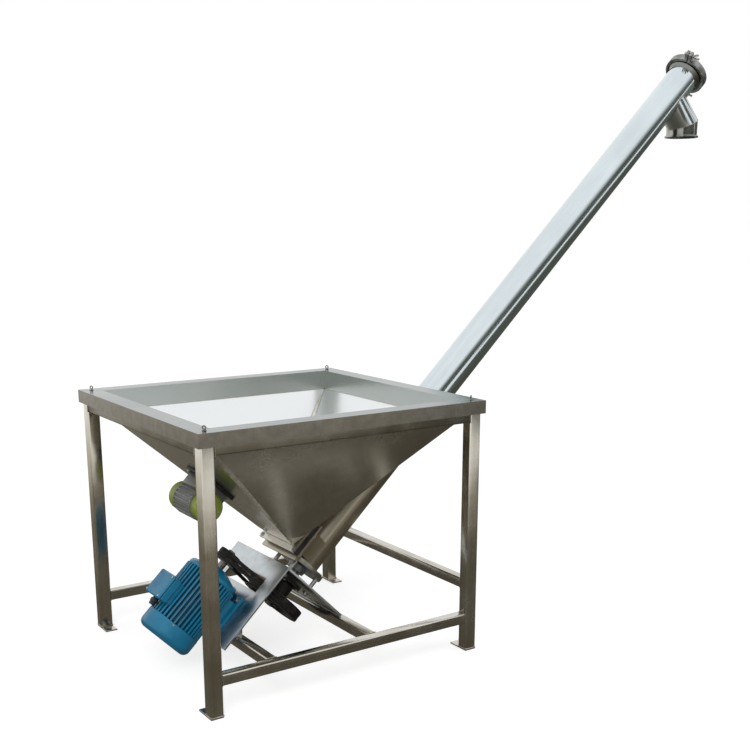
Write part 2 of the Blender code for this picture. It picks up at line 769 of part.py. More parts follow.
# End plate: square to the tube, its lower edge stands on the second cross member
END_PLATE_TOP = MOTOR_PLATE_H - MOTOR_PLATE_T - GAP
end_plate_drop = LOW_RAIL_TOP + GAP - TUBE_Z - END_PLATE_LOW * AXIS_UP.z
END_PLATE_FOOT = end_plate_drop / NORMAL_UP.z
end_plate = prism(
    [
        (-END_PLATE_LOW_HALF, END_PLATE_FOOT),
        (END_PLATE_LOW_HALF, END_PLATE_FOOT),
        (END_PLATE_TOP_HALF, END_PLATE_TOP),
        (-END_PLATE_TOP_HALF, END_PLATE_TOP),
    ],
    END_PLATE_LOW,
    END_PLATE_S,
)
plate_bore = round_bar(DRIVE_SHAFT_R + 0.006, END_PLATE_LOW - 0.01, END_PLATE_S + 0.01, 24)
place("end_plate", cut(end_plate, plate_bore), PLATE_STEEL, TUBE_FRAME)

# Motor plate: lies over the end plate and the first cross member, with a slot for the belts
motor_plate = slab(
    MOTOR_PLATE_HALF,
    MOTOR_PLATE_LOW,
    END_PLATE_S,
    MOTOR_PLATE_H - MOTOR_PLATE_T,
    MOTOR_PLATE_T,
)
motor_plate = cut(
    motor_plate,
    slab(SLOT_HALF, SLOT_LOW, SLOT_HIGH, MOTOR_PLATE_H - MOTOR_PLATE_T - 0.01, MOTOR_PLATE_T + 0.02),
)
foot_bolts = []
for side in (-FOOT_BOLT_HALF, FOOT_BOLT_HALF):
    for along in (FOOT_BOLT_LOW, FOOT_BOLT_HIGH):
        foot_bolts.append((side, along))
motor_plate = cut(motor_plate, plate_holes(foot_bolts, MOTOR_PLATE_H - 0.02, MOTOR_PLATE_H + 0.01))
place("motor_plate", motor_plate, PLATE_STEEL, TUBE_FRAME)

# Wedge pad between the first cross member and the motor plate
PAD_HALF_Y = 0.150
member_left = MEMBER_ONE - MEMBER_WIDTH / 2
member_right = MEMBER_ONE + MEMBER_WIDTH / 2
under_h = MOTOR_PLATE_H - MOTOR_PLATE_T - GAP


def under_plate_z(x):
    # Height of the motor plate's underside above a point x of the cross member.
    along = (x - TUBE_POINT.x - under_h * NORMAL_UP.x) / AXIS_UP.x
    return TUBE_POINT.z + along * AXIS_UP.z + under_h * NORMAL_UP.z


pad_base = LOW_RAIL_TOP + GAP
pad_outline = [
    (member_left + 0.003, pad_base),
    (member_right, pad_base),
    (member_right, under_plate_z(member_right)),
    (member_left + 0.003, max(under_plate_z(member_left + 0.003), pad_base + 0.001)),
]
pad_rings = []
for pad_y in (TUBE_POINT.y - PAD_HALF_Y, TUBE_POINT.y + PAD_HALF_Y):
    pad_rings.append([Vector((x, pad_y, z)) for x, z in pad_outline])
place("plate_pad", loft(pad_rings), PLATE_STEEL, WORLD)

# Bearing housing between the end plate and the screw pulley
BEARING_LOW = PULLEY_S + PULLEY_WIDTH / 2 + 0.002
BEARING_TOP = END_PLATE_LOW - GAP
bearing_bore = fit_bore(DRIVE_SHAFT_R, CORE_STEPS, 0.0008)
bearing = revolve(
    [
        (bearing_bore, BEARING_TOP),
        (BEARING_FLANGE_R, BEARING_TOP),
        (BEARING_FLANGE_R, BEARING_TOP - 0.008),
        (BEARING_R + 0.004, BEARING_TOP - 0.010),
        (BEARING_R, BEARING_TOP - 0.014),
        (BEARING_R, BEARING_LOW + 0.002),
        (BEARING_R - 0.002, BEARING_LOW),
        (bearing_bore, BEARING_LOW),
    ],
    32,
)
place("bearing_housing", bearing, BLACK_IRON, TUBE_FRAME)


# Two grooved pulleys and the pair of belts round them
def pulley(outer, bore, web_in, web_out, steps):
    low = -PULLEY_WIDTH / 2
    high = PULLEY_WIDTH / 2
    groove_top = BELT_TOP / 2 + 0.0007
    groove_foot = BELT_BOTTOM / 2 + 0.0004
    depth = BELT_THICK + 0.0010
    profile = [(bore, high), (bore, low)]
    if web_out > web_in:
        profile.extend([(web_in, low), (web_in + 0.002, low + 0.012)])
        profile.extend([(web_out - 0.002, low + 0.012), (web_out, low)])
    profile.append((outer, low))
    for centre in (-BELT_PITCH / 2, BELT_PITCH / 2):
        profile.append((outer, centre - groove_top))
        profile.append((outer - depth, centre - groove_foot))
        profile.append((outer - depth, centre + groove_foot))
        profile.append((outer, centre + groove_top))
    profile.append((outer, high))
    if web_out > web_in:
        profile.extend([(web_out, high), (web_out - 0.002, high - 0.012)])
        profile.extend([(web_in + 0.002, high - 0.012), (web_in, high)])
    return revolve(profile, steps)


big_bore = fit_bore(DRIVE_SHAFT_R, 36)
big_pulley = shifted(
    pulley(BIG_PULLEY_R, big_bore, 0.030, 0.080, 36),
    Matrix.Translation((0, 0, PULLEY_S)),
)
place("screw_pulley", big_pulley, BLACK_IRON, TUBE_FRAME, origin=(0, 0, PULLEY_S))
small_bore = fit_bore(MOTOR_SHAFT_R, 24)
small_pulley = shifted(
    pulley(SMALL_PULLEY_R, small_bore, 0.0, 0.0, 24),
    Matrix.Translation((0, 0, PULLEY_S)),
)
place("motor_pulley", small_pulley, BLACK_IRON, MOTOR_FRAME, origin=(0, 0, PULLEY_S))


def belt(centre):
    # A wedge-section loop: an arc on each pulley and a straight run on each side.
    lean = math.asin((BIG_PULLEY_R - SMALL_PULLEY_R) / MOTOR_N)
    stations = []
    arc_steps = 20
    for i in range(arc_steps + 1):
        angle = math.pi - lean + (math.pi + 2 * lean) * i / arc_steps
        stations.append((0.0, BIG_PULLEY_R, angle))
    arc_steps = 10
    for i in range(arc_steps + 1):
        angle = lean + (math.pi - 2 * lean) * i / arc_steps
        stations.append((MOTOR_N, SMALL_PULLEY_R, angle))
    rings = []
    for base, outer, angle in stations:
        top = outer + 0.0006
        foot = top - BELT_THICK
        ring = []
        for radius, shift in (
            (top, -BELT_TOP / 2),
            (top, BELT_TOP / 2),
            (foot, BELT_BOTTOM / 2),
            (foot, -BELT_BOTTOM / 2),
        ):
            x = radius * math.cos(angle)
            y = base + radius * math.sin(angle)
            ring.append(Vector((x, y, PULLEY_S + centre + shift)))
        rings.append(ring)
    return loft(rings, closed=True)


place("drive_belt_upper", belt(BELT_PITCH / 2), RUBBER, TUBE_FRAME)
place("drive_belt_lower", belt(-BELT_PITCH / 2), RUBBER, TUBE_FRAME)

# Motor: finned housing on two foot rails, drive-end shield, rotor, fan, cover, terminal box
fin_outline = []
for i in range(FIN_COUNT):
    middle = 2 * math.pi * (i + 0.5) / FIN_COUNT
    step = 2 * math.pi / FIN_COUNT
    for radius, turn in ((MOTOR_R, -0.30), (FIN_R, -0.20), (FIN_R, 0.20), (MOTOR_R, 0.30)):
        angle = middle + turn * step
        fin_outline.append((radius * math.cos(angle), radius * math.sin(angle)))
housing = prism(fin_outline, MOTOR_BODY_LOW, MOTOR_BODY_HIGH)
for side in (-1, 1):
    inner = side * (FOOT_BOLT_HALF - 0.018)
    outer = side * (FOOT_BOLT_HALF + 0.016)
    foot = box(
        min(inner, outer), max(inner, outer),
        -SHAFT_HEIGHT, -SHAFT_HEIGHT + 0.010,
        FOOT_BOLT_LOW - 0.016, FOOT_BOLT_HIGH + 0.014,
    )
    housing = add(housing, foot)
    web_outline = [
        (side * (FOOT_BOLT_HALF - 0.020), -SHAFT_HEIGHT + 0.005),
        (side * (FOOT_BOLT_HALF - 0.002), -SHAFT_HEIGHT + 0.005),
        (side * (FOOT_BOLT_HALF - 0.014), -SHAFT_HEIGHT + 0.055),
        (side * (FOOT_BOLT_HALF - 0.036), -SHAFT_HEIGHT + 0.045),
    ]
    housing = add(housing, prism(web_outline, FOOT_BOLT_LOW + 0.012, FOOT_BOLT_HIGH - 0.012))
pad_half = TERMINAL_HALF - 0.008
terminal_pad = box(
    -pad_half, pad_half, MOTOR_R - 0.010, FIN_R + 0.004, TERMINAL_LOW + 0.005, TERMINAL_HIGH - 0.005
)
housing = add(housing, terminal_pad)
STATOR_R = 0.046
housing = cut(housing, round_bar(STATOR_R, MOTOR_BODY_LOW - 0.01, MOTOR_BODY_HIGH + 0.01, 32))
housing = cut(housing, plate_holes(foot_bolts, -SHAFT_HEIGHT - 0.01, -SHAFT_HEIGHT + 0.018))
place("motor_housing", housing, MOTOR_PAINT, MOTOR_FRAME)

SHIELD_LOW = MOTOR_BODY_HIGH + GAP
shield_bore = fit_bore(MOTOR_SHAFT_R, 32, 0.0008)
shield = revolve(
    [
        (shield_bore, SHIELD_LOW),
        (FIN_R - 0.003, SHIELD_LOW),
        (FIN_R - 0.003, SHIELD_LOW + 0.010),
        (FIN_R - 0.012, SHIELD_LOW + 0.018),
        (0.048, MOTOR_SHIELD_HIGH - 0.008),
        (0.030, MOTOR_SHIELD_HIGH),
        (shield_bore, MOTOR_SHIELD_HIGH),
    ],
    32,
)
place("motor_end_shield", shield, MOTOR_PAINT, MOTOR_FRAME)

ROTOR_R = STATOR_R - 0.0015
rotor = revolve(
    [
        (MOTOR_SHAFT_R - 0.002, FAN_COVER_LOW + 0.012),
        (MOTOR_SHAFT_R - 0.002, MOTOR_BODY_LOW + 0.020),
        (ROTOR_R, MOTOR_BODY_LOW + 0.020),
        (ROTOR_R, MOTOR_BODY_HIGH - 0.020),
        (MOTOR_SHAFT_R, MOTOR_BODY_HIGH - 0.020),
        (MOTOR_SHAFT_R, PULLEY_S + PULLEY_WIDTH / 2 + 0.006),
        (MOTOR_SHAFT_R - 0.001, PULLEY_S + PULLEY_WIDTH / 2 + 0.007),
    ],
    28,
    closed=False,
)
place("motor_rotor", rotor, SHAFT_STEEL, MOTOR_FRAME)

fan_bore = fit_bore(MOTOR_SHAFT_R - 0.002, 24)
FAN_R = 0.068
FAN_LOW = FAN_COVER_LOW + 0.020
FAN_HIGH = FAN_LOW + 0.030
fan = revolve(
    [
        (fan_bore, FAN_LOW),
        (0.022, FAN_LOW),
        (0.022, FAN_HIGH - 0.004),
        (FAN_R, FAN_HIGH - 0.004),
        (FAN_R, FAN_HIGH),
        (fan_bore, FAN_HIGH),
    ],
    24,
)
for i in range(6):
    blade = box(0.019, FAN_R - 0.002, -0.0015, 0.0015, FAN_LOW + 0.002, FAN_HIGH - 0.002)
    fan = add(fan, shifted(blade, Matrix.Rotation(math.radians(60 * i + 7), 4, "Z")))
place("motor_fan", fan, GLAND_PLASTIC, MOTOR_FRAME)

COVER_R = FIN_R
COVER_SKIN = 0.002
FAN_COVER_HIGH = MOTOR_BODY_LOW - GAP
fan_cover = revolve(
    [
        (COVER_R + 0.001, FAN_COVER_HIGH),
        (COVER_R + 0.001, FAN_COVER_LOW + 0.010),
        (COVER_R - 0.008, FAN_COVER_LOW),
        (0.012, FAN_COVER_LOW),
        (0.012, FAN_COVER_LOW + COVER_SKIN),
        (COVER_R - 0.009, FAN_COVER_LOW + COVER_SKIN),
        (COVER_R + 0.001 - COVER_SKIN, FAN_COVER_LOW + 0.011),
        (COVER_R + 0.001 - COVER_SKIN, FAN_COVER_HIGH),
    ],
    32,
)
place("fan_cover", fan_cover, MOTOR_PAINT, MOTOR_FRAME)

TERMINAL_H = FIN_R + 0.004 + GAP
LID_H = TERMINAL_H + TERMINAL_DEEP + GAP
terminal_box = box(
    -TERMINAL_HALF, TERMINAL_HALF, TERMINAL_H, LID_H - GAP, TERMINAL_LOW, TERMINAL_HIGH
)
place("terminal_box", terminal_box, MOTOR_PAINT, MOTOR_FRAME, bevel=0.003)
lid_half = TERMINAL_HALF + LID_EDGE
lid = box(
    -lid_half, lid_half, LID_H, LID_H + LID_DEEP, TERMINAL_LOW - LID_EDGE, TERMINAL_HIGH + LID_EDGE
)
place("terminal_lid", lid, MOTOR_PAINT, MOTOR_FRAME, bevel=0.004)
gland = revolve(
    [
        (0.0095, 0.0),
        (0.0095, 0.006),
        (0.0125, 0.006),
        (0.0125, 0.014),
        (0.0105, 0.016),
        (0.0085, 0.026),
        (0.0055, 0.026),
        (0.0055, 0.0),
    ],
    16,
)
gland_spot = Matrix.Translation((0.0, TERMINAL_H + TERMINAL_DEEP / 2, TERMINAL_LOW - GAP))
gland_turn = Matrix.Rotation(math.pi, 4, "X")
place("cable_gland", gland, GLAND_PLASTIC, MOTOR_FRAME @ gland_spot @ gland_turn)

# Vibrator on the sloping wall: mount plate, ribbed body with foot, shaft with weights, two caps
wall_top = level_ring(RIM_FLANGE - SHEET, WALL_FOOT_Z - SHEET * 0.5)
wall_foot = wall_start_out
wall_down = wall_foot[0] - wall_top[0]
wall_down = Vector((wall_down.x, 0.0, wall_down.z)).normalized()
wall_out = Vector((wall_down.z, 0.0, -wall_down.x)).normalized()
wall_spot = wall_top[0].lerp(wall_foot[0], VIB_SHARE)
VIB_POINT = Vector((wall_spot.x, VIB_Y + EDGE_Y, wall_spot.z)) + wall_out * VIB_OFFSET
VIB_FRAME = frame_of(VIB_POINT, Vector((0, 0, 1)), Vector((1, 0, 0)), Vector((0, 1, 0)))
MOUNT_T = 0.010
MOUNT_HALF_Y = 0.070
MOUNT_HALF_W = 0.062
MOUNT_FRAME = frame_of(VIB_POINT, wall_down, SIDE, wall_down.cross(SIDE))
out_sign = 1.0 if MOUNT_FRAME.to_3x3().col[2].dot(wall_out) > 0 else -1.0
near_wall = -out_sign * (VIB_OFFSET - GAP)
mount_face = near_wall + out_sign * MOUNT_T
mount = box(
    -MOUNT_HALF_W, MOUNT_HALF_W, -MOUNT_HALF_Y, MOUNT_HALF_Y,
    min(near_wall, mount_face), max(near_wall, mount_face),
)
place("vibrator_mount", mount, BLACK_IRON, MOUNT_FRAME, bevel=0.001)

VIB_STEPS = 24
VIB_FINS = 22
fin_ring = []
for i in range(VIB_FINS):
    step = 2 * math.pi / VIB_FINS
    for radius, turn in ((VIB_R - 0.0045, -0.32), (VIB_R, -0.20), (VIB_R, 0.20), (VIB_R - 0.0045, 0.32)):
        angle = (i + 0.5 + turn) * step
        fin_ring.append((radius * math.cos(angle), radius * math.sin(angle)))
vib_body = prism(fin_ring, -VIB_BODY / 2 + 0.006, VIB_BODY / 2 - 0.006)
for direction in (-1, 1):
    # A plain collar at each end, where the cap is screwed on.
    inside = direction * (VIB_BODY / 2 - 0.007)
    outside = direction * VIB_BODY / 2
    vib_body = add(vib_body, round_bar(VIB_R - 0.001, min(inside, outside), max(inside, outside), VIB_STEPS))
to_mount = VIB_FRAME.inverted() @ MOUNT_FRAME
foot_face = mount_face + out_sign * GAP
foot_top = -out_sign * (VIB_R * 0.55)
vib_foot = box(
    -0.048, 0.048, -VIB_BODY / 2 + 0.004, VIB_BODY / 2 - 0.004,
    min(foot_face, foot_top), max(foot_face, foot_top),
)
vib_body = add(vib_body, shifted(vib_foot, to_mount))
vib_body = cut(vib_body, round_bar(fit_bore(VIB_SHAFT_R, 20), -VIB_BODY, VIB_BODY, 20))
place("vibrator_body", vib_body, VIB_PAINT, VIB_FRAME)


def vibrator_cap(direction):
    # A domed cup that closes one end of the vibrator over its weights.
    base = direction * (VIB_BODY / 2 + GAP)
    tip = direction * (VIB_BODY / 2 + VIB_CAP)
    wall = 0.0025
    profile = [
        (VIB_CAP_R, base),
        (VIB_CAP_R, tip - direction * 0.008),
        (VIB_CAP_R - 0.006, tip),
        (0.004, tip),
        (0.004, tip - direction * wall),
        (VIB_CAP_R - 0.007, tip - direction * wall),
        (VIB_CAP_R - wall, tip - direction * 0.009),
        (VIB_CAP_R - wall, base),
    ]
    return revolve(profile, VIB_STEPS)


place("vibrator_cap_front", vibrator_cap(-1), CAP_PAINT, VIB_FRAME)
place("vibrator_cap_back", vibrator_cap(1), CAP_PAINT, VIB_FRAME)

WEIGHT_R = 0.036
WEIGHT_T = 0.024
weight_low = VIB_BODY / 2 + 0.005
vib_rotor = round_bar(VIB_SHAFT_R, -weight_low - WEIGHT_T - 0.003, weight_low + WEIGHT_T + 0.003, 20)
weight_outline = [(0.006, -0.014), (0.006, 0.014)]
for i in range(13):
    angle = math.radians(90 + 180 * i / 12)
    weight_outline.append((WEIGHT_R * math.cos(angle), WEIGHT_R * math.sin(angle)))
vib_rotor = add(vib_rotor, prism(weight_outline, weight_low, weight_low + WEIGHT_T))
vib_rotor = add(vib_rotor, prism(weight_outline, -weight_low - WEIGHT_T, -weight_low))
place("vibrator_rotor", vib_rotor, SHAFT_STEEL, VIB_FRAME)

# Top end: cover with a bush for the screw's pin, and a two-part clamp ring with its bolts
COVER_LOW = TUBE_TOP + GAP
pin_bore = fit_bore(TOP_PIN_R, 24, 0.0008)
top_cover = revolve(
    [
        (pin_bore, COVER_LOW),
        (FERRULE_R, COVER_LOW),
        (FERRULE_R, COVER_LOW + COVER_T),
        (FERRULE_R - FERRULE_STEP, COVER_LOW + COVER_T),
        (FERRULE_R - FERRULE_STEP - 0.002, COVER_LOW + COVER_T + 0.004),
        (0.034, COVER_LOW + COVER_T + 0.006),
        (0.030, COVER_LOW + COVER_T + 0.012),
        (pin_bore, COVER_LOW + COVER_T + 0.012),
    ],
    TUBE_STEPS,
)
place("top_cover", top_cover, CAST_STAINLESS, TUBE_FRAME)

CLAMP_MID = TUBE_TOP + GAP / 2
CLAMP_LOW = CLAMP_MID - CLAMP_WIDTH / 2
CLAMP_HIGH = CLAMP_MID + CLAMP_WIDTH / 2
groove_low = FERRULE_LOW - GAP
groove_high = COVER_LOW + COVER_T + GAP
groove_r = fit_bore(FERRULE_R, TUBE_STEPS)
CLAMP_LIP_R = FERRULE_R - FERRULE_STEP / 2
EAR_TOP = CLAMP_R + 0.026
EAR_T = 0.010
EAR_GAP = 0.004
EAR_HALF = 0.010
EAR_MID = CLAMP_R + 0.0155
CLAMP_BOLT_R = 0.004


def clamp_half(direction):
    # Half of a channel ring, with an ear at each end for a clamping bolt.
    ring = revolve(
        [
            (CLAMP_R, CLAMP_LOW),
            (CLAMP_R, CLAMP_HIGH),
            (CLAMP_LIP_R, CLAMP_HIGH),
            (CLAMP_LIP_R, groove_high),
            (groove_r, groove_high),
            (groove_r, groove_low),
            (CLAMP_LIP_R, groove_low),
            (CLAMP_LIP_R, CLAMP_LOW),
        ],
        TUBE_STEPS,
    )
    for sign in (-1, 1):
        near = direction * EAR_GAP / 2
        far = direction * (EAR_GAP / 2 + EAR_T)
        low = sign * (CLAMP_R - 0.004)
        high = sign * EAR_TOP
        ear = box(
            min(near, far), max(near, far), min(low, high), max(low, high),
            CLAMP_MID - EAR_HALF, CLAMP_MID + EAR_HALF,
        )
        ring = add(ring, ear)
    other_side = box(
        min(direction * EAR_GAP / 2, -direction * 0.2), max(direction * EAR_GAP / 2, -direction * 0.2),
        -0.2, 0.2, CLAMP_LOW - 0.01, CLAMP_HIGH + 0.01,
    )
    ring = cut(ring, other_side)
    for sign in (-1, 1):
        bar = round_bar(CLAMP_BOLT_R + 0.0006, -0.05, 0.05, 16)
        lie = Matrix.Rotation(math.radians(90), 4, "Y")
        ring = cut(ring, shifted(bar, Matrix.Translation((0, sign * EAR_MID, CLAMP_MID)) @ lie))
    return ring


# The clamp sits turned on the tube, with its wing nut towards the front.
CLAMP_FRAME = TUBE_FRAME @ Matrix.Rotation(CLAMP_TURN, 4, "Z")
place("clamp_half_front", clamp_half(-1), CAST_STAINLESS, CLAMP_FRAME)
place("clamp_half_back", clamp_half(1), CAST_STAINLESS, CLAMP_FRAME)

EAR_OUT = EAR_GAP / 2 + EAR_T
BOLT_HEAD = 0.006
BOLT_TAIL = 0.028


def clamp_bolt():
    # A bolt through both ears with a six-sided head; local z is the bolt's axis.
    head = revolve([(0.0075, -EAR_OUT - GAP - BOLT_HEAD), (0.0075, -EAR_OUT - GAP)], 6, closed=False)
    stem = round_bar(CLAMP_BOLT_R, -EAR_OUT - GAP - BOLT_HEAD * 0.5, EAR_OUT + BOLT_TAIL, 16)
    return shifted(add(head, stem), Matrix.Rotation(math.pi, 4, "X"))


LIE_DOWN = Matrix.Rotation(math.radians(90), 4, "Y")
UPPER_BOLT = CLAMP_FRAME @ Matrix.Translation((0, EAR_MID, CLAMP_MID)) @ LIE_DOWN
LOWER_BOLT = CLAMP_FRAME @ Matrix.Translation((0, -EAR_MID, CLAMP_MID)) @ LIE_DOWN
place("clamp_bolt_upper", clamp_bolt(), ZINC, UPPER_BOLT)


def wing_nut():
    # A nut with two wings on the front end of the upper clamp bolt.
    inner = -EAR_OUT - GAP
    bore = fit_bore(CLAMP_BOLT_R, 16)
    hub = revolve([(0.0075, inner), (0.0065, inner - 0.009), (bore, inner - 0.009), (bore, inner)], 16)
    for sign in (-1, 1):
        outline = [
            (sign * 0.0058, inner - 0.002),
            (sign * 0.0155, inner - 0.010),
            (sign * 0.0160, inner - 0.018),
            (sign * 0.0120, inner - 0.018),
            (sign * 0.0058, inner - 0.008),
        ]
        rings = []
        for y in (-0.0016, 0.0016):
            rings.append([Vector((x, y, z)) for x, z in outline])
        hub = add(hub, loft(rings))
    return hub


place("wing_nut", wing_nut(), CAST_STAINLESS, UPPER_BOLT)
lower_nut = revolve([(0.0075, -EAR_OUT - GAP - 0.007), (0.0075, -EAR_OUT - GAP)], 6, closed=False)
place("clamp_bolt_lower", add(clamp_bolt(), lower_nut), ZINC, LOWER_BOLT)
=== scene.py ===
import math

import bmesh
import bpy
from mathutils import Matrix
from mathutils import Vector


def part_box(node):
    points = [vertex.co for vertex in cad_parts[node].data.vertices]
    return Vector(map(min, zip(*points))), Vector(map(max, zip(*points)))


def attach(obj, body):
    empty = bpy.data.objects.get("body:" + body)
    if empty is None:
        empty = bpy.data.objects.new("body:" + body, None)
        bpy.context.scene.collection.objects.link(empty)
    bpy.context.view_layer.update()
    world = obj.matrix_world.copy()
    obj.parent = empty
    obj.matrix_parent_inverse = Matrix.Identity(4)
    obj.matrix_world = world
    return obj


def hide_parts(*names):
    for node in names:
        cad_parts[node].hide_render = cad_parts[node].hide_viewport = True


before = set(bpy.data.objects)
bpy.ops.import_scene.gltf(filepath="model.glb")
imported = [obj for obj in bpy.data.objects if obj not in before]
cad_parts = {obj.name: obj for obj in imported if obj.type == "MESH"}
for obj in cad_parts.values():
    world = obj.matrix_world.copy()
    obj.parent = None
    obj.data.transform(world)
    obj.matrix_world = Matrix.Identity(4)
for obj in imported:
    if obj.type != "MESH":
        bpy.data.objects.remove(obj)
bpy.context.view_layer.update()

scene = bpy.context.scene


# Studio: a matt pale floor under an even white sky, with one wide soft lamp high on the left
# and a weaker one on the right. Polished steel also mirrors a brown yard, dark trees behind
# the viewer and a far shed, which are plain sheets that only reflections see.
def linear(code):
    channels = []
    for i in (1, 3, 5):
        share = int(code[i:i + 2], 16) / 255
        channels.append(share / 12.92 if share <= 0.04045 else ((share + 0.055) / 1.055) ** 2.4)
    return (channels[0], channels[1], channels[2], 1.0)


def add_node(tree, kind, settings=None, links=None):
    # One node with its settings, by attribute or socket, and its links.
    node = tree.nodes.new(kind)
    for name, value in (settings or {}).items():
        if isinstance(name, int) or name in node.inputs:
            node.inputs[name].default_value = value
        else:
            setattr(node, name, value)
    for name, source in (links or {}).items():
        tree.links.new(source, node.inputs[name])
    return node


def new_finish(name):
    material = bpy.data.materials.new(name)
    material.use_nodes = True
    return material, material.node_tree


def add_background_rays(tree):
    # 1 for the rays that should see the plain white background.
    rays = add_node(tree, "ShaderNodeLightPath")
    seen = add_node(
        tree, "ShaderNodeMath", {"operation": "MAXIMUM"},
        {0: rays.outputs["Is Camera Ray"], 1: rays.outputs["Is Glossy Ray"]},
    )
    return add_node(
        tree, "ShaderNodeMath", {"operation": "MAXIMUM"},
        {0: seen.outputs[0], 1: rays.outputs["Is Transmission Ray"]},
    )


def matt_floor_paint():
    # Under the white sky the glow brings the paint just up to white, and shadows stay.
    material, tree = new_finish("matt_floor_paint")
    tree.nodes.clear()
    seen = add_background_rays(tree)
    glow = add_node(
        tree, "ShaderNodeMath", {"operation": "MULTIPLY", 1: 0.71}, {0: seen.outputs[0]}
    )
    light = add_node(tree, "ShaderNodeEmission", {}, {"Strength": glow.outputs[0]})
    paint = add_node(tree, "ShaderNodeBsdfDiffuse", {"Color": linear("#b4b4b4")})
    both = add_node(tree, "ShaderNodeAddShader", {}, {0: paint.outputs[0], 1: light.outputs[0]})
    add_node(tree, "ShaderNodeOutputMaterial", {}, {"Surface": both.outputs[0]})
    return material


def yard_reflection():
    # Brown near the machine, paler with distance; it reaches furthest on the right.
    material, tree = new_finish("yard_reflection")
    tree.nodes.clear()
    place = add_node(tree, "ShaderNodeTexCoord")
    lying = add_node(
        tree, "ShaderNodeMapping", {"Location": (-0.9, 0.0, 0.0), "Scale": (0.34, 0.9, 1.0)},
        {"Vector": place.outputs["Object"]},
    )
    reach = add_node(
        tree, "ShaderNodeVectorMath", {"operation": "LENGTH"}, {0: lying.outputs[0]}
    )
    share = add_node(
        tree, "ShaderNodeMapRange", {"From Max": 9.0}, {"Value": reach.outputs["Value"]}
    )
    ramp = add_node(tree, "ShaderNodeValToRGB", {}, {"Fac": share.outputs[0]})
    stops = ramp.color_ramp.elements
    stops[0].color = linear("#454239")
    stops[1].color = linear("#ffffff")
    for spot, code in ((0.10, "#57534a"), (0.22, "#746f63"), (0.38, "#bab5a9"), (0.70, "#ebe9e4")):
        stops.new(spot).color = linear(code)
    # Dark wet ground starts 2 m off on the right; the round tube mirrors it as a long stripe.
    wet_place = add_node(
        tree, "ShaderNodeMapping",
        {"vector_type": "TEXTURE", "Location": (9.2, 0.0, 0.0), "Scale": (7.6, 8.8, 1.0)},
        {"Vector": place.outputs["Object"]},
    )
    wet_reach = add_node(
        tree, "ShaderNodeVectorMath", {"operation": "LENGTH"}, {0: wet_place.outputs[0]}
    )
    wet = add_node(
        tree, "ShaderNodeMapRange", {"From Min": 1.0, "From Max": 0.86},
        {"Value": wet_reach.outputs["Value"]},
    )
    ground = add_node(
        tree, "ShaderNodeMix", {"data_type": "RGBA", 7: linear("#55574f")},
        {0: wet.outputs[0], 6: ramp.outputs[0]},
    )
    light = add_node(tree, "ShaderNodeEmission", {"Strength": 1.0}, {"Color": ground.outputs[2]})
    add_node(tree, "ShaderNodeOutputMaterial", {}, {"Surface": light.outputs[0]})
    return material


def mirrored_shade(name, dark, pale, fade_from, top):
    # Shade in soft patches about 2 m across, which fades to white up to its top.
    material, tree = new_finish(name)
    tree.nodes.clear()
    place = add_node(tree, "ShaderNodeTexCoord")
    patches = add_node(
        tree, "ShaderNodeTexNoise", {"Scale": 0.5, "Detail": 2.0}, {"Vector": place.outputs["Object"]}
    )
    shade = add_node(
        tree, "ShaderNodeMix", {"data_type": "RGBA", 6: linear(dark), 7: linear(pale)},
        {0: patches.outputs["Fac"]},
    )
    level = add_node(tree, "ShaderNodeSeparateXYZ", {}, {0: place.outputs["Object"]})
    fade = add_node(
        tree, "ShaderNodeMapRange", {"From Min": fade_from, "From Max": top},
        {"Value": level.outputs["Z"]},
    )
    faded = add_node(
        tree, "ShaderNodeMix", {"data_type": "RGBA", 7: (1.0, 1.0, 1.0, 1.0)},
        {0: fade.outputs[0], 6: shade.outputs[2]},
    )
    light = add_node(tree, "ShaderNodeEmission", {"Strength": 1.0}, {"Color": faded.outputs[2]})
    add_node(tree, "ShaderNodeOutputMaterial", {}, {"Surface": light.outputs[0]})
    return material


def stage_sheet(name, corners, material, mirrored_only=False):
    mesh = bpy.data.meshes.new(name)
    mesh.from_pydata(corners, [], [(0, 1, 2, 3)])
    mesh.materials.append(material)
    sheet = bpy.data.objects.new(name, mesh)
    sheet.location = (0.7, 0.3, 0.0)
    scene.collection.objects.link(sheet)
    if mirrored_only:
        sheet.visible_camera = False
        sheet.visible_diffuse = False
        sheet.visible_transmission = False
        sheet.visible_shadow = False


def level_square(half, height):
    return [(x, y, height) for x, y in ((-half, -half), (half, -half), (half, half), (-half, half))]


def upright(start, end, foot, top):
    return [(*start, foot), (*end, foot), (*end, top), (*start, top)]


FLOOR_HALF, YARD_HALF = 80.0, 20.0
stage_sheet("floor", level_square(FLOOR_HALF, -0.0008), matt_floor_paint())
stage_sheet("yard", level_square(YARD_HALF, -0.0003), yard_reflection(), True)
TREES_FOOT, TREES_FADE, TREES_TOP = 1.25, 3.6, 6.0
stage_sheet(
    "trees", upright((-4.0, -7.3), (13.0, -7.3), TREES_FOOT, TREES_TOP),
    mirrored_shade("dark_trees", "#3c3f3a", "#6f726b", TREES_FADE, TREES_TOP), True,
)
SHED_FADE, SHED_TOP = 4.0, 5.2
stage_sheet(
    "shed", upright((13.3, -6.0), (13.3, 11.0), 0.0, SHED_TOP),
    mirrored_shade("shed_wall", "#5a5d57", "#787b74", SHED_FADE, SHED_TOP), True,
)

sky = bpy.data.worlds.new("even_sky")
scene.world = sky
sky.use_nodes = True
sky_seen = add_background_rays(sky.node_tree)
sky_level = add_node(
    sky.node_tree, "ShaderNodeMath", {"operation": "MULTIPLY_ADD", 1: 0.32, 2: 0.68},
    {0: sky_seen.outputs[0]},
)
sky.node_tree.nodes["Background"].inputs["Color"].default_value = (1, 1, 1, 1)
sky.node_tree.links.new(
    sky_level.outputs[0], sky.node_tree.nodes["Background"].inputs["Strength"]
)

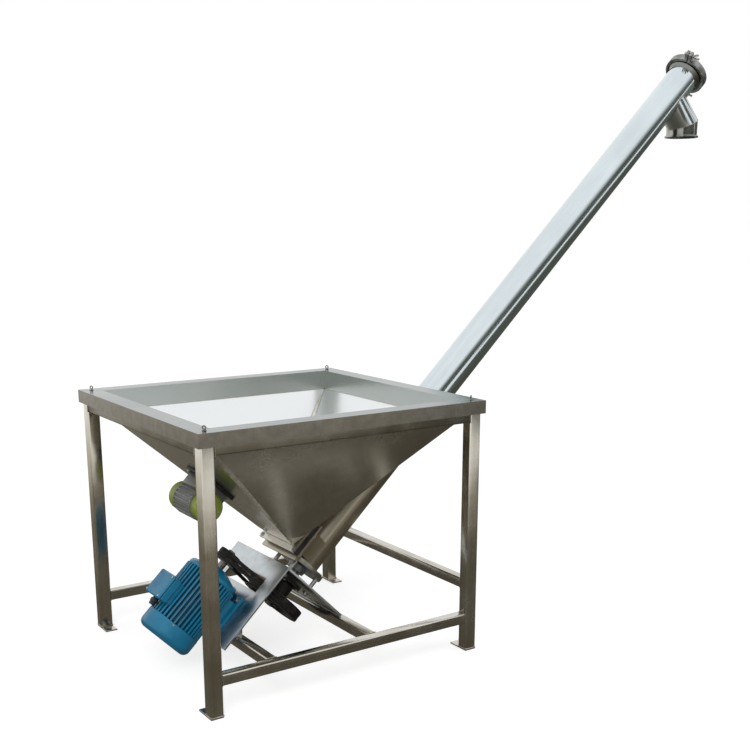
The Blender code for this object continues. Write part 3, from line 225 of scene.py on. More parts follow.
MACHINE_MIDDLE = Vector((0.6, 0.3, 0.6))
for lamp_name, lamp_spot, lamp_size, lamp_power in (
    ("lamp_left", (-3.0, -3.6, 4.6), 3.6, 150.0),
    ("lamp_right", (4.6, -3.0, 3.4), 3.0, 45.0),
):
    lamp = bpy.data.lights.new(lamp_name, "AREA")
    lamp.shape = "DISK"
    lamp.size = lamp_size
    lamp.energy = lamp_power
    holder = bpy.data.objects.new(lamp_name, lamp)
    holder.location = lamp_spot
    aim = MACHINE_MIDDLE - Vector(lamp_spot)
    holder.rotation_euler = aim.to_track_quat("-Z", "Y").to_euler()
    holder.visible_glossy = False
    scene.collection.objects.link(holder)


# Camera: 1.34 m up and 2.8 m off the front left corner of the stand, looking slightly down.
# Its place, heading and lens are fitted to the corners of the stand and of the rim.
camera_data = bpy.data.cameras.new("camera")
camera_data.lens = 52.015
camera_data.sensor_width = 36.0
camera_data.shift_x = 0.0051
camera_data.shift_y = 0.158
camera = bpy.data.objects.new("camera", camera_data)
camera.location = (-1.1834, -2.5515, 1.3399)
heading, pitch = math.radians(56.01), math.radians(-14.24)
sight = Vector((
    math.cos(pitch) * math.cos(heading), math.cos(pitch) * math.sin(heading), math.sin(pitch),
))
camera.rotation_euler = sight.to_track_quat("-Z", "Y").to_euler()
scene.collection.objects.link(camera)
scene.camera = camera
scene.view_settings.view_transform = "Standard"


# Stand: square stainless tube, mitred, welded and belt polished along each bar, on four cut
# foot plates. The polish gives long soft streaks, with smears and fine stray scratches.
def lay_finish(tree, colour, gloss, relief):
    shader = tree.nodes["Principled BSDF"]
    tree.links.new(colour, shader.inputs["Base Color"])
    tree.links.new(gloss, shader.inputs["Roughness"])
    tree.links.new(relief, shader.inputs["Normal"])


def stainless(
    name, dull, bright, grain, patch=0.11, smooth=0.16, rough=0.34, wave=0.0012, slope=0.0,
):
    # grain is the length of a polishing mark in metres along x, y and z; slope tilts x uphill.
    # Streaks are 14 marks long and wide, and 4 mm more; patch is the size of a smear in metres.
    material, tree = new_finish(name)
    tree.nodes["Principled BSDF"].inputs["Metallic"].default_value = 1.0
    place = add_node(tree, "ShaderNodeTexCoord")
    tilt = {"vector_type": "TEXTURE", "Rotation": (0.0, -slope, 0.0)}
    marks_place = add_node(
        tree, "ShaderNodeMapping", {**tilt, "Scale": grain}, {"Vector": place.outputs["Object"]}
    )
    marks = add_node(
        tree, "ShaderNodeTexNoise",
        {"name": "marks", "Scale": 1.0, "Detail": 4.0, "Roughness": 0.65},
        {"Vector": marks_place.outputs[0]},
    )
    streak_place = add_node(
        tree, "ShaderNodeMapping", {**tilt, "Scale": [mark * 14 + 0.004 for mark in grain]},
        {"Vector": place.outputs["Object"]},
    )
    streaks = add_node(
        tree, "ShaderNodeTexNoise", {"name": "streaks", "Scale": 1.0, "Detail": 2.0},
        {"Vector": streak_place.outputs[0]},
    )
    smears = add_node(
        tree, "ShaderNodeTexNoise", {"Scale": 1 / patch, "Detail": 3.0, "Roughness": 0.5},
        {"Vector": place.outputs["Object"]},
    )
    tone = add_node(
        tree, "ShaderNodeMath", {"operation": "MULTIPLY_ADD", 1: 0.55},
        {0: streaks.outputs["Fac"], 2: smears.outputs["Fac"]},
    )
    tone = add_node(
        tree, "ShaderNodeMapRange", {"From Min": 0.52, "From Max": 1.02},
        {"Value": tone.outputs[0]},
    )
    colour = add_node(
        tree, "ShaderNodeMix", {"data_type": "RGBA", 6: linear(dull), 7: linear(bright)},
        {0: tone.outputs[0]},
    )
    fine = add_node(
        tree, "ShaderNodeMapRange", {"From Min": 0.3, "From Max": 0.7, "To Min": 0.91, "To Max": 1.07},
        {"Value": marks.outputs["Fac"]},
    )
    grained = add_node(
        tree, "ShaderNodeVectorMath", {"operation": "SCALE"},
        {0: colour.outputs[2], "Scale": fine.outputs[0]},
    )
    gloss = add_node(
        tree, "ShaderNodeMath", {"operation": "MULTIPLY_ADD", 1: 0.7},
        {0: marks.outputs["Fac"], 2: smears.outputs["Fac"]},
    )
    gloss = add_node(
        tree, "ShaderNodeMapRange",
        {"From Min": 0.55, "From Max": 1.15, "To Min": smooth, "To Max": rough},
        {"Value": gloss.outputs[0]},
    )
    swell = add_node(
        tree, "ShaderNodeBump", {"Strength": 0.5, "Distance": wave},
        {"Height": smears.outputs["Fac"]},
    )
    brushed = add_node(
        tree, "ShaderNodeBump", {"Strength": 0.35, "Distance": 0.00005},
        {"Height": marks.outputs["Fac"], "Normal": swell.outputs[0]},
    )
    lay_finish(tree, grained.outputs[0], gloss.outputs[0], brushed.outputs[0])
    return material


# Polishing marks are about 0.2 mm apart on the real bars, and are drawn 1 mm apart to show.
MARKS_UP, MARKS_X, MARKS_Y = (0.001, 0.001, 0.09), (0.09, 0.001, 0.001), (0.001, 0.09, 0.001)
FRAME_UP = stainless("frame_steel_up", "#c4beaf", "#e1ddd3", MARKS_UP, smooth=0.12, rough=0.28)
FRAME_X = stainless("frame_steel_x", "#beb8ac", "#dcd9d0", MARKS_X, smooth=0.12, rough=0.28)
FRAME_Y = stainless("frame_steel_y", "#b9b3a8", "#d7d4cb", MARKS_Y, smooth=0.12, rough=0.28)
# The top rails under the rim are less polished, and their colour is painted darker as painted
# shade under the rim.
RAIL_SHADED_X = stainless("rail_shaded_steel_x", "#8f8a80", "#aeaaa0", MARKS_X)
RAIL_SHADED_Y = stainless("rail_shaded_steel_y", "#8a867c", "#a9a59b", MARKS_Y)


def shape_group(name):
    group = bpy.data.node_groups.new(name, "GeometryNodeTree")
    for way in ("INPUT", "OUTPUT"):
        group.interface.new_socket("Geometry", in_out=way, socket_type="NodeSocketGeometry")
    return group, add_node(group, "NodeGroupInput")


def joined_corners():
    # Welds the loose corners of a read mesh and drops its stored normals.
    group, start = shape_group("joined_corners")
    joined = add_node(
        group, "GeometryNodeMergeByDistance", {"Distance": 0.00002}, {"Geometry": start.outputs[0]}
    )
    bare = add_node(
        group, "GeometryNodeRemoveAttribute", {"Name": "custom_normal"}, {0: joined.outputs[0]}
    )
    add_node(group, "NodeGroupOutput", {}, {0: bare.outputs[0]})
    return group


def soft_shade():
    # Round faces shade smoothly, and edges over 32 degrees stay crisp.
    group, start = shape_group("soft_shade")
    smooth = add_node(
        group, "GeometryNodeSetShadeSmooth", {"domain": "FACE", "Shade Smooth": True},
        {"Geometry": start.outputs[0]},
    )
    bend = add_node(group, "GeometryNodeInputMeshEdgeAngle")
    crisp = add_node(
        group, "FunctionNodeCompare",
        {"data_type": "FLOAT", "operation": "GREATER_THAN", 1: math.radians(32)},
        {0: bend.outputs["Unsigned Angle"]},
    )
    edges = add_node(
        group, "GeometryNodeSetShadeSmooth", {"domain": "EDGE", "Shade Smooth": False},
        {"Geometry": smooth.outputs[0], "Selection": crisp.outputs[0]},
    )
    add_node(group, "NodeGroupOutput", {}, {0: edges.outputs[0]})
    return group


JOINED_CORNERS = joined_corners()
SOFT_SHADE = soft_shade()


def soften(piece, edge):
    # Rounds the crisp edges by a worn radius, then shades the piece.
    if edge > 0:
        rounding = piece.modifiers.new("worn_edge", "BEVEL")
        rounding.width = edge
        rounding.segments = 2
        rounding.limit_method = "ANGLE"
        rounding.angle_limit = math.radians(38)
    piece.modifiers.new("shade", "NODES").node_group = SOFT_SHADE


def dress(names, material, edge=0.0):
    # Gives model nodes their finish and slightly worn edges.
    for name in names:
        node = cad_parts[name]
        for slot in node.material_slots:
            slot.material = material
        node.modifiers.new("corners", "NODES").node_group = JOINED_CORNERS
        soften(node, edge)


CORNERS = ("front_left", "front_right", "back_right", "back_left")
dress(["post_" + corner for corner in CORNERS], FRAME_UP, 0.0008)
dress(["foot_" + corner for corner in CORNERS], FRAME_Y, 0.0006)
dress(["low_rail_front", "low_rail_back"], FRAME_X, 0.0008)
dress(["side_rail_right"], FRAME_Y, 0.0008)
dress(["top_rail_front", "top_rail_back"], RAIL_SHADED_X, 0.0008)
dress(["top_rail_left", "top_rail_right"], RAIL_SHADED_Y, 0.0008)
dress(["cross_member_motor", "cross_member_tube"], FRAME_Y, 0.0008)


def skin(shape, rings, closed=False):
    # Joins a row of equal rings by faces, and caps its ends unless it closes on itself.
    points, faces = shape
    first = len(points)
    count = len(rings[0])
    for ring in rings:
        points.extend(tuple(point) for point in ring)
    for i in range(len(rings) if closed else len(rings) - 1):
        low = first + i * count
        high = first + ((i + 1) % len(rings)) * count
        for j in range(count):
            k = (j + 1) % count
            faces.append((low + j, low + k, high + k, high + j))
    if not closed:
        faces.append(tuple(range(first + count - 1, first - 1, -1)))
        last = first + (len(rings) - 1) * count
        faces.append(tuple(range(last, last + count)))


def make_piece(name, shape, material, edge=0.0):
    # All the pieces made here are fixed to the stand, so they ride on its body.
    mesh = bpy.data.meshes.new(name)
    mesh.from_pydata(shape[0], [], shape[1])
    cleaner = bmesh.new()
    cleaner.from_mesh(mesh)
    bmesh.ops.recalc_face_normals(cleaner, faces=cleaner.faces)
    cleaner.to_mesh(mesh)
    cleaner.free()
    mesh.materials.append(material)
    piece = bpy.data.objects.new(name, mesh)
    scene.collection.objects.link(piece)
    soften(piece, edge)
    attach(piece, "stand")
    return piece


# Weld beads: stainless filler laid by hand where the bars meet, then rough from a wire brush.
# They are duller than the bars, with small ripples and a straw heat tint in 12 mm patches.
WELD = stainless(
    "brushed_weld", "#9a8f7c", "#cfcac0", (0.002, 0.002, 0.002), patch=0.012,
    smooth=0.3, rough=0.5, wave=0.0004,
)
RIPPLE = 0.0030


def ring_of(centre, side, other, radius, steps):
    # Points round a circle, from side towards other.
    turns = [2 * math.pi * j / steps for j in range(steps)]
    return [
        centre + side * (radius * math.cos(turn)) + other * (radius * math.sin(turn))
        for turn in turns
    ]


def bead(shape, path, radius):
    # A rippled bead along a path of straight runs; real ripples are 1.5 mm, drawn as 3 mm.
    stations = []
    for start, end in zip(path[:-1], path[1:]):
        steps = max(1, round((end - start).length / (RIPPLE / 2)))
        stations.extend(start.lerp(end, i / steps) for i in range(steps))
    stations.append(path[-1])
    side = None
    rings = []
    for i, point in enumerate(stations):
        ahead = stations[min(i + 1, len(stations) - 1)] - stations[max(i - 1, 0)]
        ahead.normalize()
        if side is None:
            side = ahead.orthogonal()
        side = (side - ahead * side.dot(ahead)).normalized()
        size = radius * (0.80 if i % 2 else 1.0)
        if i in (0, len(stations) - 1):
            size *= 0.5
        rings.append(ring_of(point, side, ahead.cross(side), size, 6))
    skin(shape, rings)


def outline_at(low, high, axis, at, skip=()):
    # The edges of a bar's end, as paths in the plane where it meets a post.
    a, b = [i for i in range(3) if i != axis]
    corners = []
    for u, v in ((low[a], low[b]), (high[a], low[b]), (high[a], high[b]), (low[a], high[b])):
        corner = [0.0, 0.0, 0.0]
        corner[axis], corner[a], corner[b] = at, u, v
        corners.append(Vector(corner))
    return [[corners[i], corners[(i + 1) % 4]] for i in range(4) if i not in skip]


# The top rails' upper edges lie under the rim, so no bead is laid there.
BAR_BEAD, FOOT_BEAD = 0.0016, 0.0018
stand_beads = ([], [])
for bar, axis, skip in (
    ("top_rail_front", 0, (2,)), ("top_rail_back", 0, (2,)), ("low_rail_front", 0, ()),
    ("low_rail_back", 0, ()), ("top_rail_left", 1, (2,)), ("top_rail_right", 1, (2,)),
    ("side_rail_right", 1, ()), ("cross_member_motor", 1, ()), ("cross_member_tube", 1, ()),
):
    low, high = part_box(bar)
    for at in (low[axis] + 0.0004, high[axis] - 0.0004):
        for path in outline_at(low, high, axis, at, skip):
            bead(stand_beads, path, BAR_BEAD)
for corner in CORNERS:
    low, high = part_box("post_" + corner)
    for path in outline_at(low, high, 2, low[2] + 0.0008):
        bead(stand_beads, path, FOOT_BEAD)
make_piece("stand_weld_beads", stand_beads, WELD)


# Hopper: one 2 mm stainless sheet, folded at the rim and welded down its four ridges.
# The outside keeps a warm satin skin; the inside is rubbed bright by the product, and both
# sides carry painted reflections set by which way each face looks.
def hopper_sheet_steel():
    # Faces that look towards the middle are the inside: rubbed bright, and painted brighter still
    # as a painted reflection of the sky, lightest on the slopes and darker on the upright walls.
    # Outside, the turned-down lip is painted darker than the slopes and the flat rim a cooler
    # grey, both as painted reflections.
    material = stainless(
        "hopper_sheet_steel", "#c0bcb2", "#d6d3cb", (0.0012, 0.0012, 0.0012), patch=0.30,
        smooth=0.18, rough=0.30, wave=0.0012,
    )
    tree = material.node_tree
    shader = tree.nodes["Principled BSDF"]
    skin_colour = shader.inputs["Base Color"].links[0].from_socket
    facing = add_node(tree, "ShaderNodeNewGeometry")
    low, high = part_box("hopper")
    middle = ((low.x + high.x) / 2, (low.y + high.y) / 2, high.z - 0.05)
    away = add_node(
        tree, "ShaderNodeVectorMath", {"operation": "SUBTRACT", 1: middle},
        {0: facing.outputs["Position"]},
    )
    outward = add_node(
        tree, "ShaderNodeVectorMath", {"operation": "DOT_PRODUCT"},
        {0: facing.outputs["True Normal"], 1: away.outputs[0]},
    )
    inside = add_node(
        tree, "ShaderNodeMapRange", {"From Min": -0.01, "From Max": -0.03},
        {"Value": outward.outputs["Value"]},
    )
    up = add_node(tree, "ShaderNodeSeparateXYZ", {}, {0: facing.outputs["True Normal"]})
    level = add_node(tree, "ShaderNodeSeparateXYZ", {}, {0: facing.outputs["Position"]})
    lip = add_node(
        tree, "ShaderNodeMapRange", {"From Min": high.z - 0.070, "From Max": high.z - 0.040},
        {"Value": level.outputs["Z"]},
    )
    upper = add_node(
        tree, "ShaderNodeMapRange", {"From Min": 0.44, "From Max": 0.50},
        {"Value": level.outputs["Z"]},
    )
    # The upper inside takes the bright lining, partly real polish and partly painted reflection.
    polished_and_painted_inside = add_node(
        tree, "ShaderNodeMath", {"operation": "MULTIPLY"},
        {0: inside.outputs[0], 1: upper.outputs[0]},
    )
    # Painted reflection of the ground: the turned-down lip is coloured darker.
    rim = add_node(
        tree, "ShaderNodeMix", {"data_type": "RGBA", 6: linear("#7b7870"), 7: linear("#a29f97")},
        {0: tree.nodes["streaks"].outputs["Fac"]},
    )
    lipped = add_node(
        tree, "ShaderNodeMix", {"data_type": "RGBA"},
        {0: lip.outputs[0], 6: skin_colour, 7: rim.outputs[2]},
    )
    # Painted reflection: the flat rim on top is coloured a cooler grey.
    flat = add_node(
        tree, "ShaderNodeMapRange", {"From Min": 0.90, "From Max": 0.97},
        {"Value": up.outputs["Z"]},
    )
    outside = add_node(
        tree, "ShaderNodeMix", {"data_type": "RGBA", 7: linear("#8d9392")},
        {0: flat.outputs[0], 6: lipped.outputs[2]},
    )
    # Painted light by facing: upward inner slopes lighter, upright inner walls darker.
    slope = add_node(
        tree, "ShaderNodeMapRange", {"From Min": 0.05, "From Max": 0.35},
        {"Value": up.outputs["Z"]},
    )
    # Pale colour of the inner slopes, a painted reflection of the sky.
    bright = add_node(
        tree, "ShaderNodeMix", {"data_type": "RGBA", 6: linear("#dfe3e4"), 7: linear("#f6f8f9")},
        {0: tree.nodes["marks"].outputs["Fac"]},
    )
    lining_with_painted_light = add_node(
        tree, "ShaderNodeMix", {"data_type": "RGBA", 6: linear("#bcc0bc")},
        {0: slope.outputs[0], 7: bright.outputs[2]},
    )
    both = add_node(
        tree, "ShaderNodeMix", {"data_type": "RGBA"},
        {0: polished_and_painted_inside.outputs[0], 6: outside.outputs[2], 7: lining_with_painted_light.outputs[2]},
    )
    tree.links.new(both.outputs[2], shader.inputs["Base Color"])
    return material


HOPPER_STEEL = hopper_sheet_steel()
dress(["hopper"], HOPPER_STEEL)

TUBE_ANGLE = math.radians(43.52)
TUBE_POINT = Vector((0.6651, 0.3584, 0.4106))
UPHILL = Vector((math.cos(TUBE_ANGLE), 0.0, math.sin(TUBE_ANGLE)))
SQUARE_UP = Vector((-math.sin(TUBE_ANGLE), 0.0, math.cos(TUBE_ANGLE)))
BESIDE, ACROSS = Vector((1.0, 0.0, 0.0)), Vector((0.0, 1.0, 0.0))


def on_tube(side, height, run):
    return TUBE_POINT + ACROSS * side + SQUARE_UP * height + UPHILL * run


rim_low, rim_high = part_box("hopper")
rim_top = rim_high.z
WALL_INSET = 0.060
WALL_FOLD = rim_top - 0.066
SHEET = 0.002
OUTLET_LOW, OUTLET_HIGH, OUTLET_HALF = -0.212, -0.135, 0.085
OUTLET_FACE = 0.1225


def level_corners(inset, z):
    x0, y0 = rim_low.x + inset, rim_low.y + inset
    x1, y1 = rim_high.x - inset, rim_high.y - inset
    return [Vector((x0, y0, z)), Vector((x1, y0, z)), Vector((x1, y1, z)), Vector((x0, y1, z))]


def outlet_corners(grow, height):
    low, high, half = OUTLET_LOW - grow, OUTLET_HIGH + grow, OUTLET_HALF + grow
    return [
        on_tube(-half, height, low), on_tube(-half, height, high),
        on_tube(half, height, high), on_tube(half, height, low),
    ]


fold_out = level_corners(WALL_INSET - SHEET, WALL_FOLD - SHEET * 0.5)
neck_out = outlet_corners(SHEET * 1.6, OUTLET_FACE + 0.0025)
fold_in = level_corners(WALL_INSET, WALL_FOLD)
neck_in = outlet_corners(0.0, OUTLET_FACE + 0.0020)

# The ridge covers are 22 mm bands, ground flush over the weld and polished lighter.
RIDGE_BAND = stainless(
    "ridge_band_steel", "#d0cbc0", "#f0ede6", (0.0015, 0.0015, 0.0015), patch=0.05,
    smooth=0.18, rough=0.32, wave=0.0006,
)
BAND_LEG = 0.0110
BAND_PROUD = 0.0007
BAND_START, BAND_SPAN, BAND_STEPS = 0.015, 0.955, 24
ridge_bands = ([], [])
for i in range(4):
    rings = []
    for step in range(BAND_STEPS + 1):
        share = BAND_START + BAND_SPAN * step / BAND_STEPS
        here = fold_out[i].lerp(neck_out[i], share)
        run = (neck_out[i] - fold_out[i]).normalized()
        legs = []
        for other in ((i + 1) % 4, (i - 1) % 4):
            beside = fold_out[other].lerp(neck_out[other], share) - here
            legs.append((beside - run * beside.dot(run)).normalized())
        out = -(legs[0] + legs[1]).normalized()
        lift = out * BAND_PROUD
        rings.append([
            here + legs[0] * BAND_LEG + lift * 0.4, here + lift * 1.6,
            here + legs[1] * BAND_LEG + lift * 0.4, here + legs[1] * BAND_LEG - lift * 0.6,
            here - lift * 0.3, here + legs[0] * BAND_LEG - lift * 0.6,
        ])
    skin(ridge_bands, rings)
make_piece("hopper_ridge_bands", ridge_bands, RIDGE_BAND)

# Beads run down the ridges, round the fold, down the upright corners, along the rim's mitres,
# down the lip's corners and round the neck on the outlet flange.
rim_inner = level_corners(WALL_INSET, rim_top - 0.0005)
mitre_out = level_corners(0.0015, rim_top - 0.0003)
mitre_in = level_corners(WALL_INSET - 0.001, rim_top - 0.0003)
lip_top = level_corners(0.0008, rim_top - 0.002)
lip_foot = level_corners(0.0008, rim_top - 0.039)
outlet_neck = outlet_corners(SHEET * 1.7, OUTLET_FACE + 0.0003)
hopper_beads = ([], [])
for i in range(4):
    k = (i + 1) % 4
    for start, end, radius in (
        (fold_in[i], neck_in[i], 0.0011), (fold_in[i], fold_in[k], 0.0009),
        (rim_inner[i], fold_in[i], 0.0010), (mitre_out[i], mitre_in[i], 0.0007),
        (lip_top[i], lip_foot[i], 0.0008), (outlet_neck[i], outlet_neck[k], 0.0014),
    ):
        bead(hopper_beads, [start, end], radius)
make_piece("hopper_weld_beads", hopper_beads, WELD)


# Lifting eyes: small rings on a collar, cast in stainless and blasted, one near each corner
# of the rim. Investment casting leaves pits about 0.8 mm apart, which are drawn 1.6 mm to show.
CASTING = stainless(
    "cast_stainless_steel", "#7c7d7b", "#b0b1af", (0.0016, 0.0016, 0.0016), patch=0.025,
    smooth=0.34, rough=0.52, wave=0.0005,
)


def turned(shape, place, profile, steps):
    # Spins pairs of radius and height about the z axis of a place.
    skin(shape, [
        [place @ point for point in ring_of(Vector((0, 0, height)), BESIDE, ACROSS, radius, steps)]
        for radius, height in profile
    ])


EYE_RING, EYE_WIRE, EYE_CENTRE = 0.0046, 0.0019, 0.0084
EYE_STEPS, WIRE_STEPS = 28, 10
EYE_COLLAR = [(0.0068, 0.0), (0.0068, 0.0012), (0.0045, 0.0022), (0.0030, 0.0040)]
EYE_TURNS = (-48.0, 40.0, -40.0, -55.0)
for corner, eye_turn in zip(CORNERS, EYE_TURNS):
    low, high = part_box("eye_" + corner)
    middle = Vector(((low.x + high.x) / 2, (low.y + high.y) / 2, low.z))
    standing = Matrix.Translation(middle) @ Matrix.Rotation(math.radians(eye_turn), 4, "Z")
    eye = ([], [])
    turned(eye, standing, EYE_COLLAR, 20)
    rings = []
    for i in range(EYE_STEPS):
        angle = 2 * math.pi * i / EYE_STEPS
        out = Vector((math.cos(angle), 0.0, math.sin(angle)))
        centre = Vector((0.0, 0.0, EYE_CENTRE)) + out * EYE_RING
        rings.append([standing @ point for point in ring_of(centre, out, ACROSS, EYE_WIRE, WIRE_STEPS)])
    skin(eye, rings, closed=True)
    piece = make_piece("rim_eye_" + corner, eye, CASTING)
    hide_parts("eye_" + corner)


# Outlet joint: a black sponge seal pressed between the two flanges by four M6 bolts.
# The seal is cut from sheet; the bolts are zinc plated, with a flat washer at each end.
def dusty_rubber(name, ior, shine, cells, depth, dust, veil_top, colours, gloss):
    # cells counts pores or threads along a metre; dust is the scale and detail of its patches.
    material, tree = new_finish(name)
    shader = tree.nodes["Principled BSDF"]
    shader.inputs["IOR"].default_value = ior
    shader.inputs["Specular IOR Level"].default_value = shine
    place = add_node(tree, "ShaderNodeTexCoord")
    pores = add_node(
        tree, "ShaderNodeTexVoronoi", {"Scale": cells}, {"Vector": place.outputs["Object"]}
    )
    patches = add_node(
        tree, "ShaderNodeTexNoise", {"Scale": dust[0], "Detail": dust[1]},
        {"Vector": place.outputs["Object"]},
    )
    veil = add_node(
        tree, "ShaderNodeMapRange", {"From Min": 0.45, "From Max": veil_top},
        {"Value": patches.outputs["Fac"]},
    )
    colour = add_node(
        tree, "ShaderNodeMix",
        {"data_type": "RGBA", 6: linear(colours[0]), 7: linear(colours[1])}, {0: veil.outputs[0]},
    )
    matt = add_node(
        tree, "ShaderNodeMapRange", {"To Min": gloss[0], "To Max": gloss[1]},
        {"Value": patches.outputs["Fac"]},
    )
    relief = add_node(
        tree, "ShaderNodeBump", {"Strength": 0.5, "Distance": depth},
        {"Height": pores.outputs["Distance"]},
    )
    lay_finish(tree, colour.outputs[2], matt.outputs[0], relief.outputs[0])
    return material


# Cellular rubber: matt, with pores about 1 mm across and pale dust.
SEAL_RUBBER = dusty_rubber(
    "sponge_rubber", 1.52, 0.35, 900.0, 0.0003, (30.0, 6.0), 0.8, ("#17171a", "#3d3a37"),
    (0.62, 0.9),
)
dress(["outlet_seal"], SEAL_RUBBER, 0.0006)
ZINC = stainless(
    "zinc_plated_steel", "#a9aaa6", "#d3d4cf", (0.0008, 0.0008, 0.0008), patch=0.006,
    smooth=0.24, rough=0.42, wave=0.0001,
)

TUBE_TURN = Matrix((ACROSS, SQUARE_UP, UPHILL)).transposed().to_4x4()
TUBE_PLACE = Matrix.Translation(TUBE_POINT) @ TUBE_TURN
Z_TO_Y = Matrix.Rotation(math.radians(-90), 4, "X")
Z_BACK = Matrix.Rotation(math.pi, 4, "X")
WASHER, PITCH, TAIL = 0.0012, 0.0010, 0.0035


def set_bolt(shape, place, across, grip=0.0, nut=True):
    # A six-sided bolt: its head stands on z 0 and its nut lies under -grip.
    corner = across / 2 / math.cos(math.pi / 6)
    high = across * 0.42
    washer = across * 0.98
    turned(shape, place, [(washer, 0.0), (washer, WASHER)], 24)
    for base, way in [(WASHER, 1)] + ([(-grip - WASHER, -1)] if nut else []):
        turned(
            shape, place,
            [
                (corner * 0.93, base), (corner, base + way * 0.0007),
                (corner, base + way * high * 0.80), (corner * 0.86, base + way * high),
            ],
            6,
        )
    if nut:
        turned(shape, place, [(washer, -grip), (washer, -grip - WASHER)], 24)
        stem = across * 0.3
        end = -grip - WASHER - high
        profile = []
        turns = int(TAIL / PITCH)
        for i in range(turns):
            profile.append((stem, end + PITCH / 2 - i * PITCH))
            profile.append((stem * 0.86, end - i * PITCH))
        profile.append((stem * 0.8, end - turns * PITCH))
        turned(shape, place, profile, 14)


M5_ACROSS, M6_ACROSS, M8_ACROSS = 0.008, 0.010, 0.013
OUTLET_BOLT_SIDE, OUTLET_BOLT_RUNS, OUTLET_GRIP = 0.0985, (-0.2244, -0.152), 0.034
outlet_bolts = ([], [])
for side in (-OUTLET_BOLT_SIDE, OUTLET_BOLT_SIDE):
    for run in OUTLET_BOLT_RUNS:
        spot = Matrix.Translation((side, OUTLET_FACE, run))
        set_bolt(outlet_bolts, TUBE_PLACE @ spot @ Z_TO_Y, M6_ACROSS, OUTLET_GRIP)
make_piece("outlet_bolts", outlet_bolts, ZINC, edge=0.0003)


# Screw tube and spout: drawn 114 mm stainless tube, mirror polished lengthwise, with a turned
# flange, a folded inlet neck and a mitred spout welded on. It mirrors the sky and the ground.
TUBE_R, FLANGE_WELD, FERRULE_WELD = 0.057, -0.2212, 2.0842


def bright_tube_steel():
    # Under the hopper the tube is dull and painted warm and darker as painted shade; above the rim
    # it is pale and bright.
    material = stainless(
        "bright_tube_steel", "#cfd8dc", "#dee8ec", (0.08, 0.001, 0.001), patch=0.30,
        smooth=0.09, rough=0.17, wave=0.0004, slope=TUBE_ANGLE,
    )
    tree = material.node_tree
    shader = tree.nodes["Principled BSDF"]
    polished = shader.inputs["Base Color"].links[0].from_socket
    spot = add_node(tree, "ShaderNodeNewGeometry")
    level = add_node(tree, "ShaderNodeSeparateXYZ", {}, {0: spot.outputs["Position"]})
    above = add_node(
        tree, "ShaderNodeMapRange", {"From Min": 0.52, "From Max": 0.80},
        {"Value": level.outputs["Z"]},
    )
    # Painted shade under the hopper: the lower tube is coloured warm and darker.
    painted_shade_under_hopper = add_node(
        tree, "ShaderNodeMix", {"data_type": "RGBA", 6: linear("#b9b19f")},
        {0: above.outputs[0], 7: polished},
    )
    # The turned ferrule at the top end is greyer than the drawn tube.
    along = add_node(
        tree, "ShaderNodeVectorMath", {"operation": "DOT_PRODUCT", 1: UPHILL},
        {0: spot.outputs["Position"]},
    )
    ferrule_foot = TUBE_POINT.dot(UPHILL) + FERRULE_WELD
    ferrule = add_node(
        tree, "ShaderNodeMapRange",
        {"From Min": ferrule_foot - 0.0004, "From Max": ferrule_foot + 0.0004},
        {"Value": along.outputs["Value"]},
    )
    greyed = add_node(
        tree, "ShaderNodeMix", {"data_type": "RGBA", 7: linear("#858884")},
        {0: ferrule.outputs[0], 6: painted_shade_under_hopper.outputs[2]},
    )
    tree.links.new(greyed.outputs[2], shader.inputs["Base Color"])
    gloss = shader.inputs["Roughness"].links[0].from_socket
    dulled = add_node(
        tree, "ShaderNodeMix", {"data_type": "FLOAT", 2: 0.36}, {0: above.outputs[0], 3: gloss}
    )
    tree.links.new(dulled.outputs[0], shader.inputs["Roughness"])
    return material


TUBE_STEEL = bright_tube_steel()
SPOUT_STEEL = stainless(
    "spout_steel", "#868881", "#b4b6af", (0.0012, 0.0012, 0.03), patch=0.05,
    smooth=0.11, rough=0.22, wave=0.0008,
)
dress(["screw_casing"], TUBE_STEEL)
dress(["discharge_spout"], SPOUT_STEEL)


def round_tube(run):
    # A closed path round the tube, for a bead.
    side = UPHILL.orthogonal().normalized()
    ring = ring_of(on_tube(0, 0, run), side, UPHILL.cross(side), TUBE_R, 48)
    return ring + ring[:1]


tube_beads = ([], [])
bead(tube_beads, round_tube(FLANGE_WELD), 0.0016)
bead(tube_beads, round_tube(FERRULE_WELD), 0.0010)
NECK_SIDE, NECK_LOW, NECK_HIGH, NECK_TOP = 0.08668, -0.215, -0.132, 0.0880
neck_corners = [
    on_tube(side, NECK_TOP, run) for side, run in (
        (-NECK_SIDE, NECK_LOW), (NECK_SIDE, NECK_LOW), (NECK_SIDE, NECK_HIGH), (-NECK_SIDE, NECK_HIGH),
    )
]
for i in range(4):
    bead(tube_beads, [neck_corners[i], neck_corners[(i + 1) % 4]], 0.0014)

# The spout's mitre bead, and the saddle bead where its stub meets the tube.
SPOUT_RUN, SPOUT_R, SPOUT_BEND = 1.983, 0.0565, 0.128
MITRE_POINT = on_tube(0.0, -SPOUT_BEND, SPOUT_RUN)
DOWN = Vector((0.0, 0.0, -1.0))
mitre_normal = (DOWN - SQUARE_UP).normalized()
mitre_ring, saddle_ring = [], []
for i in range(65):
    angle = 2 * math.pi * i / 64
    side, run = SPOUT_R * math.cos(angle), SPOUT_R * math.sin(angle)
    out = ACROSS * side + DOWN.cross(ACROSS) * run
    reach = -out.dot(mitre_normal) / DOWN.dot(mitre_normal)
    mitre_ring.append(MITRE_POINT + out + DOWN * reach)
    saddle_ring.append(on_tube(side, -math.sqrt(max(TUBE_R ** 2 - side ** 2, 0.0)), SPOUT_RUN + run))
bead(tube_beads, mitre_ring, 0.0013)
bead(tube_beads, saddle_ring, 0.0014)
make_piece("tube_weld_beads", tube_beads, WELD)


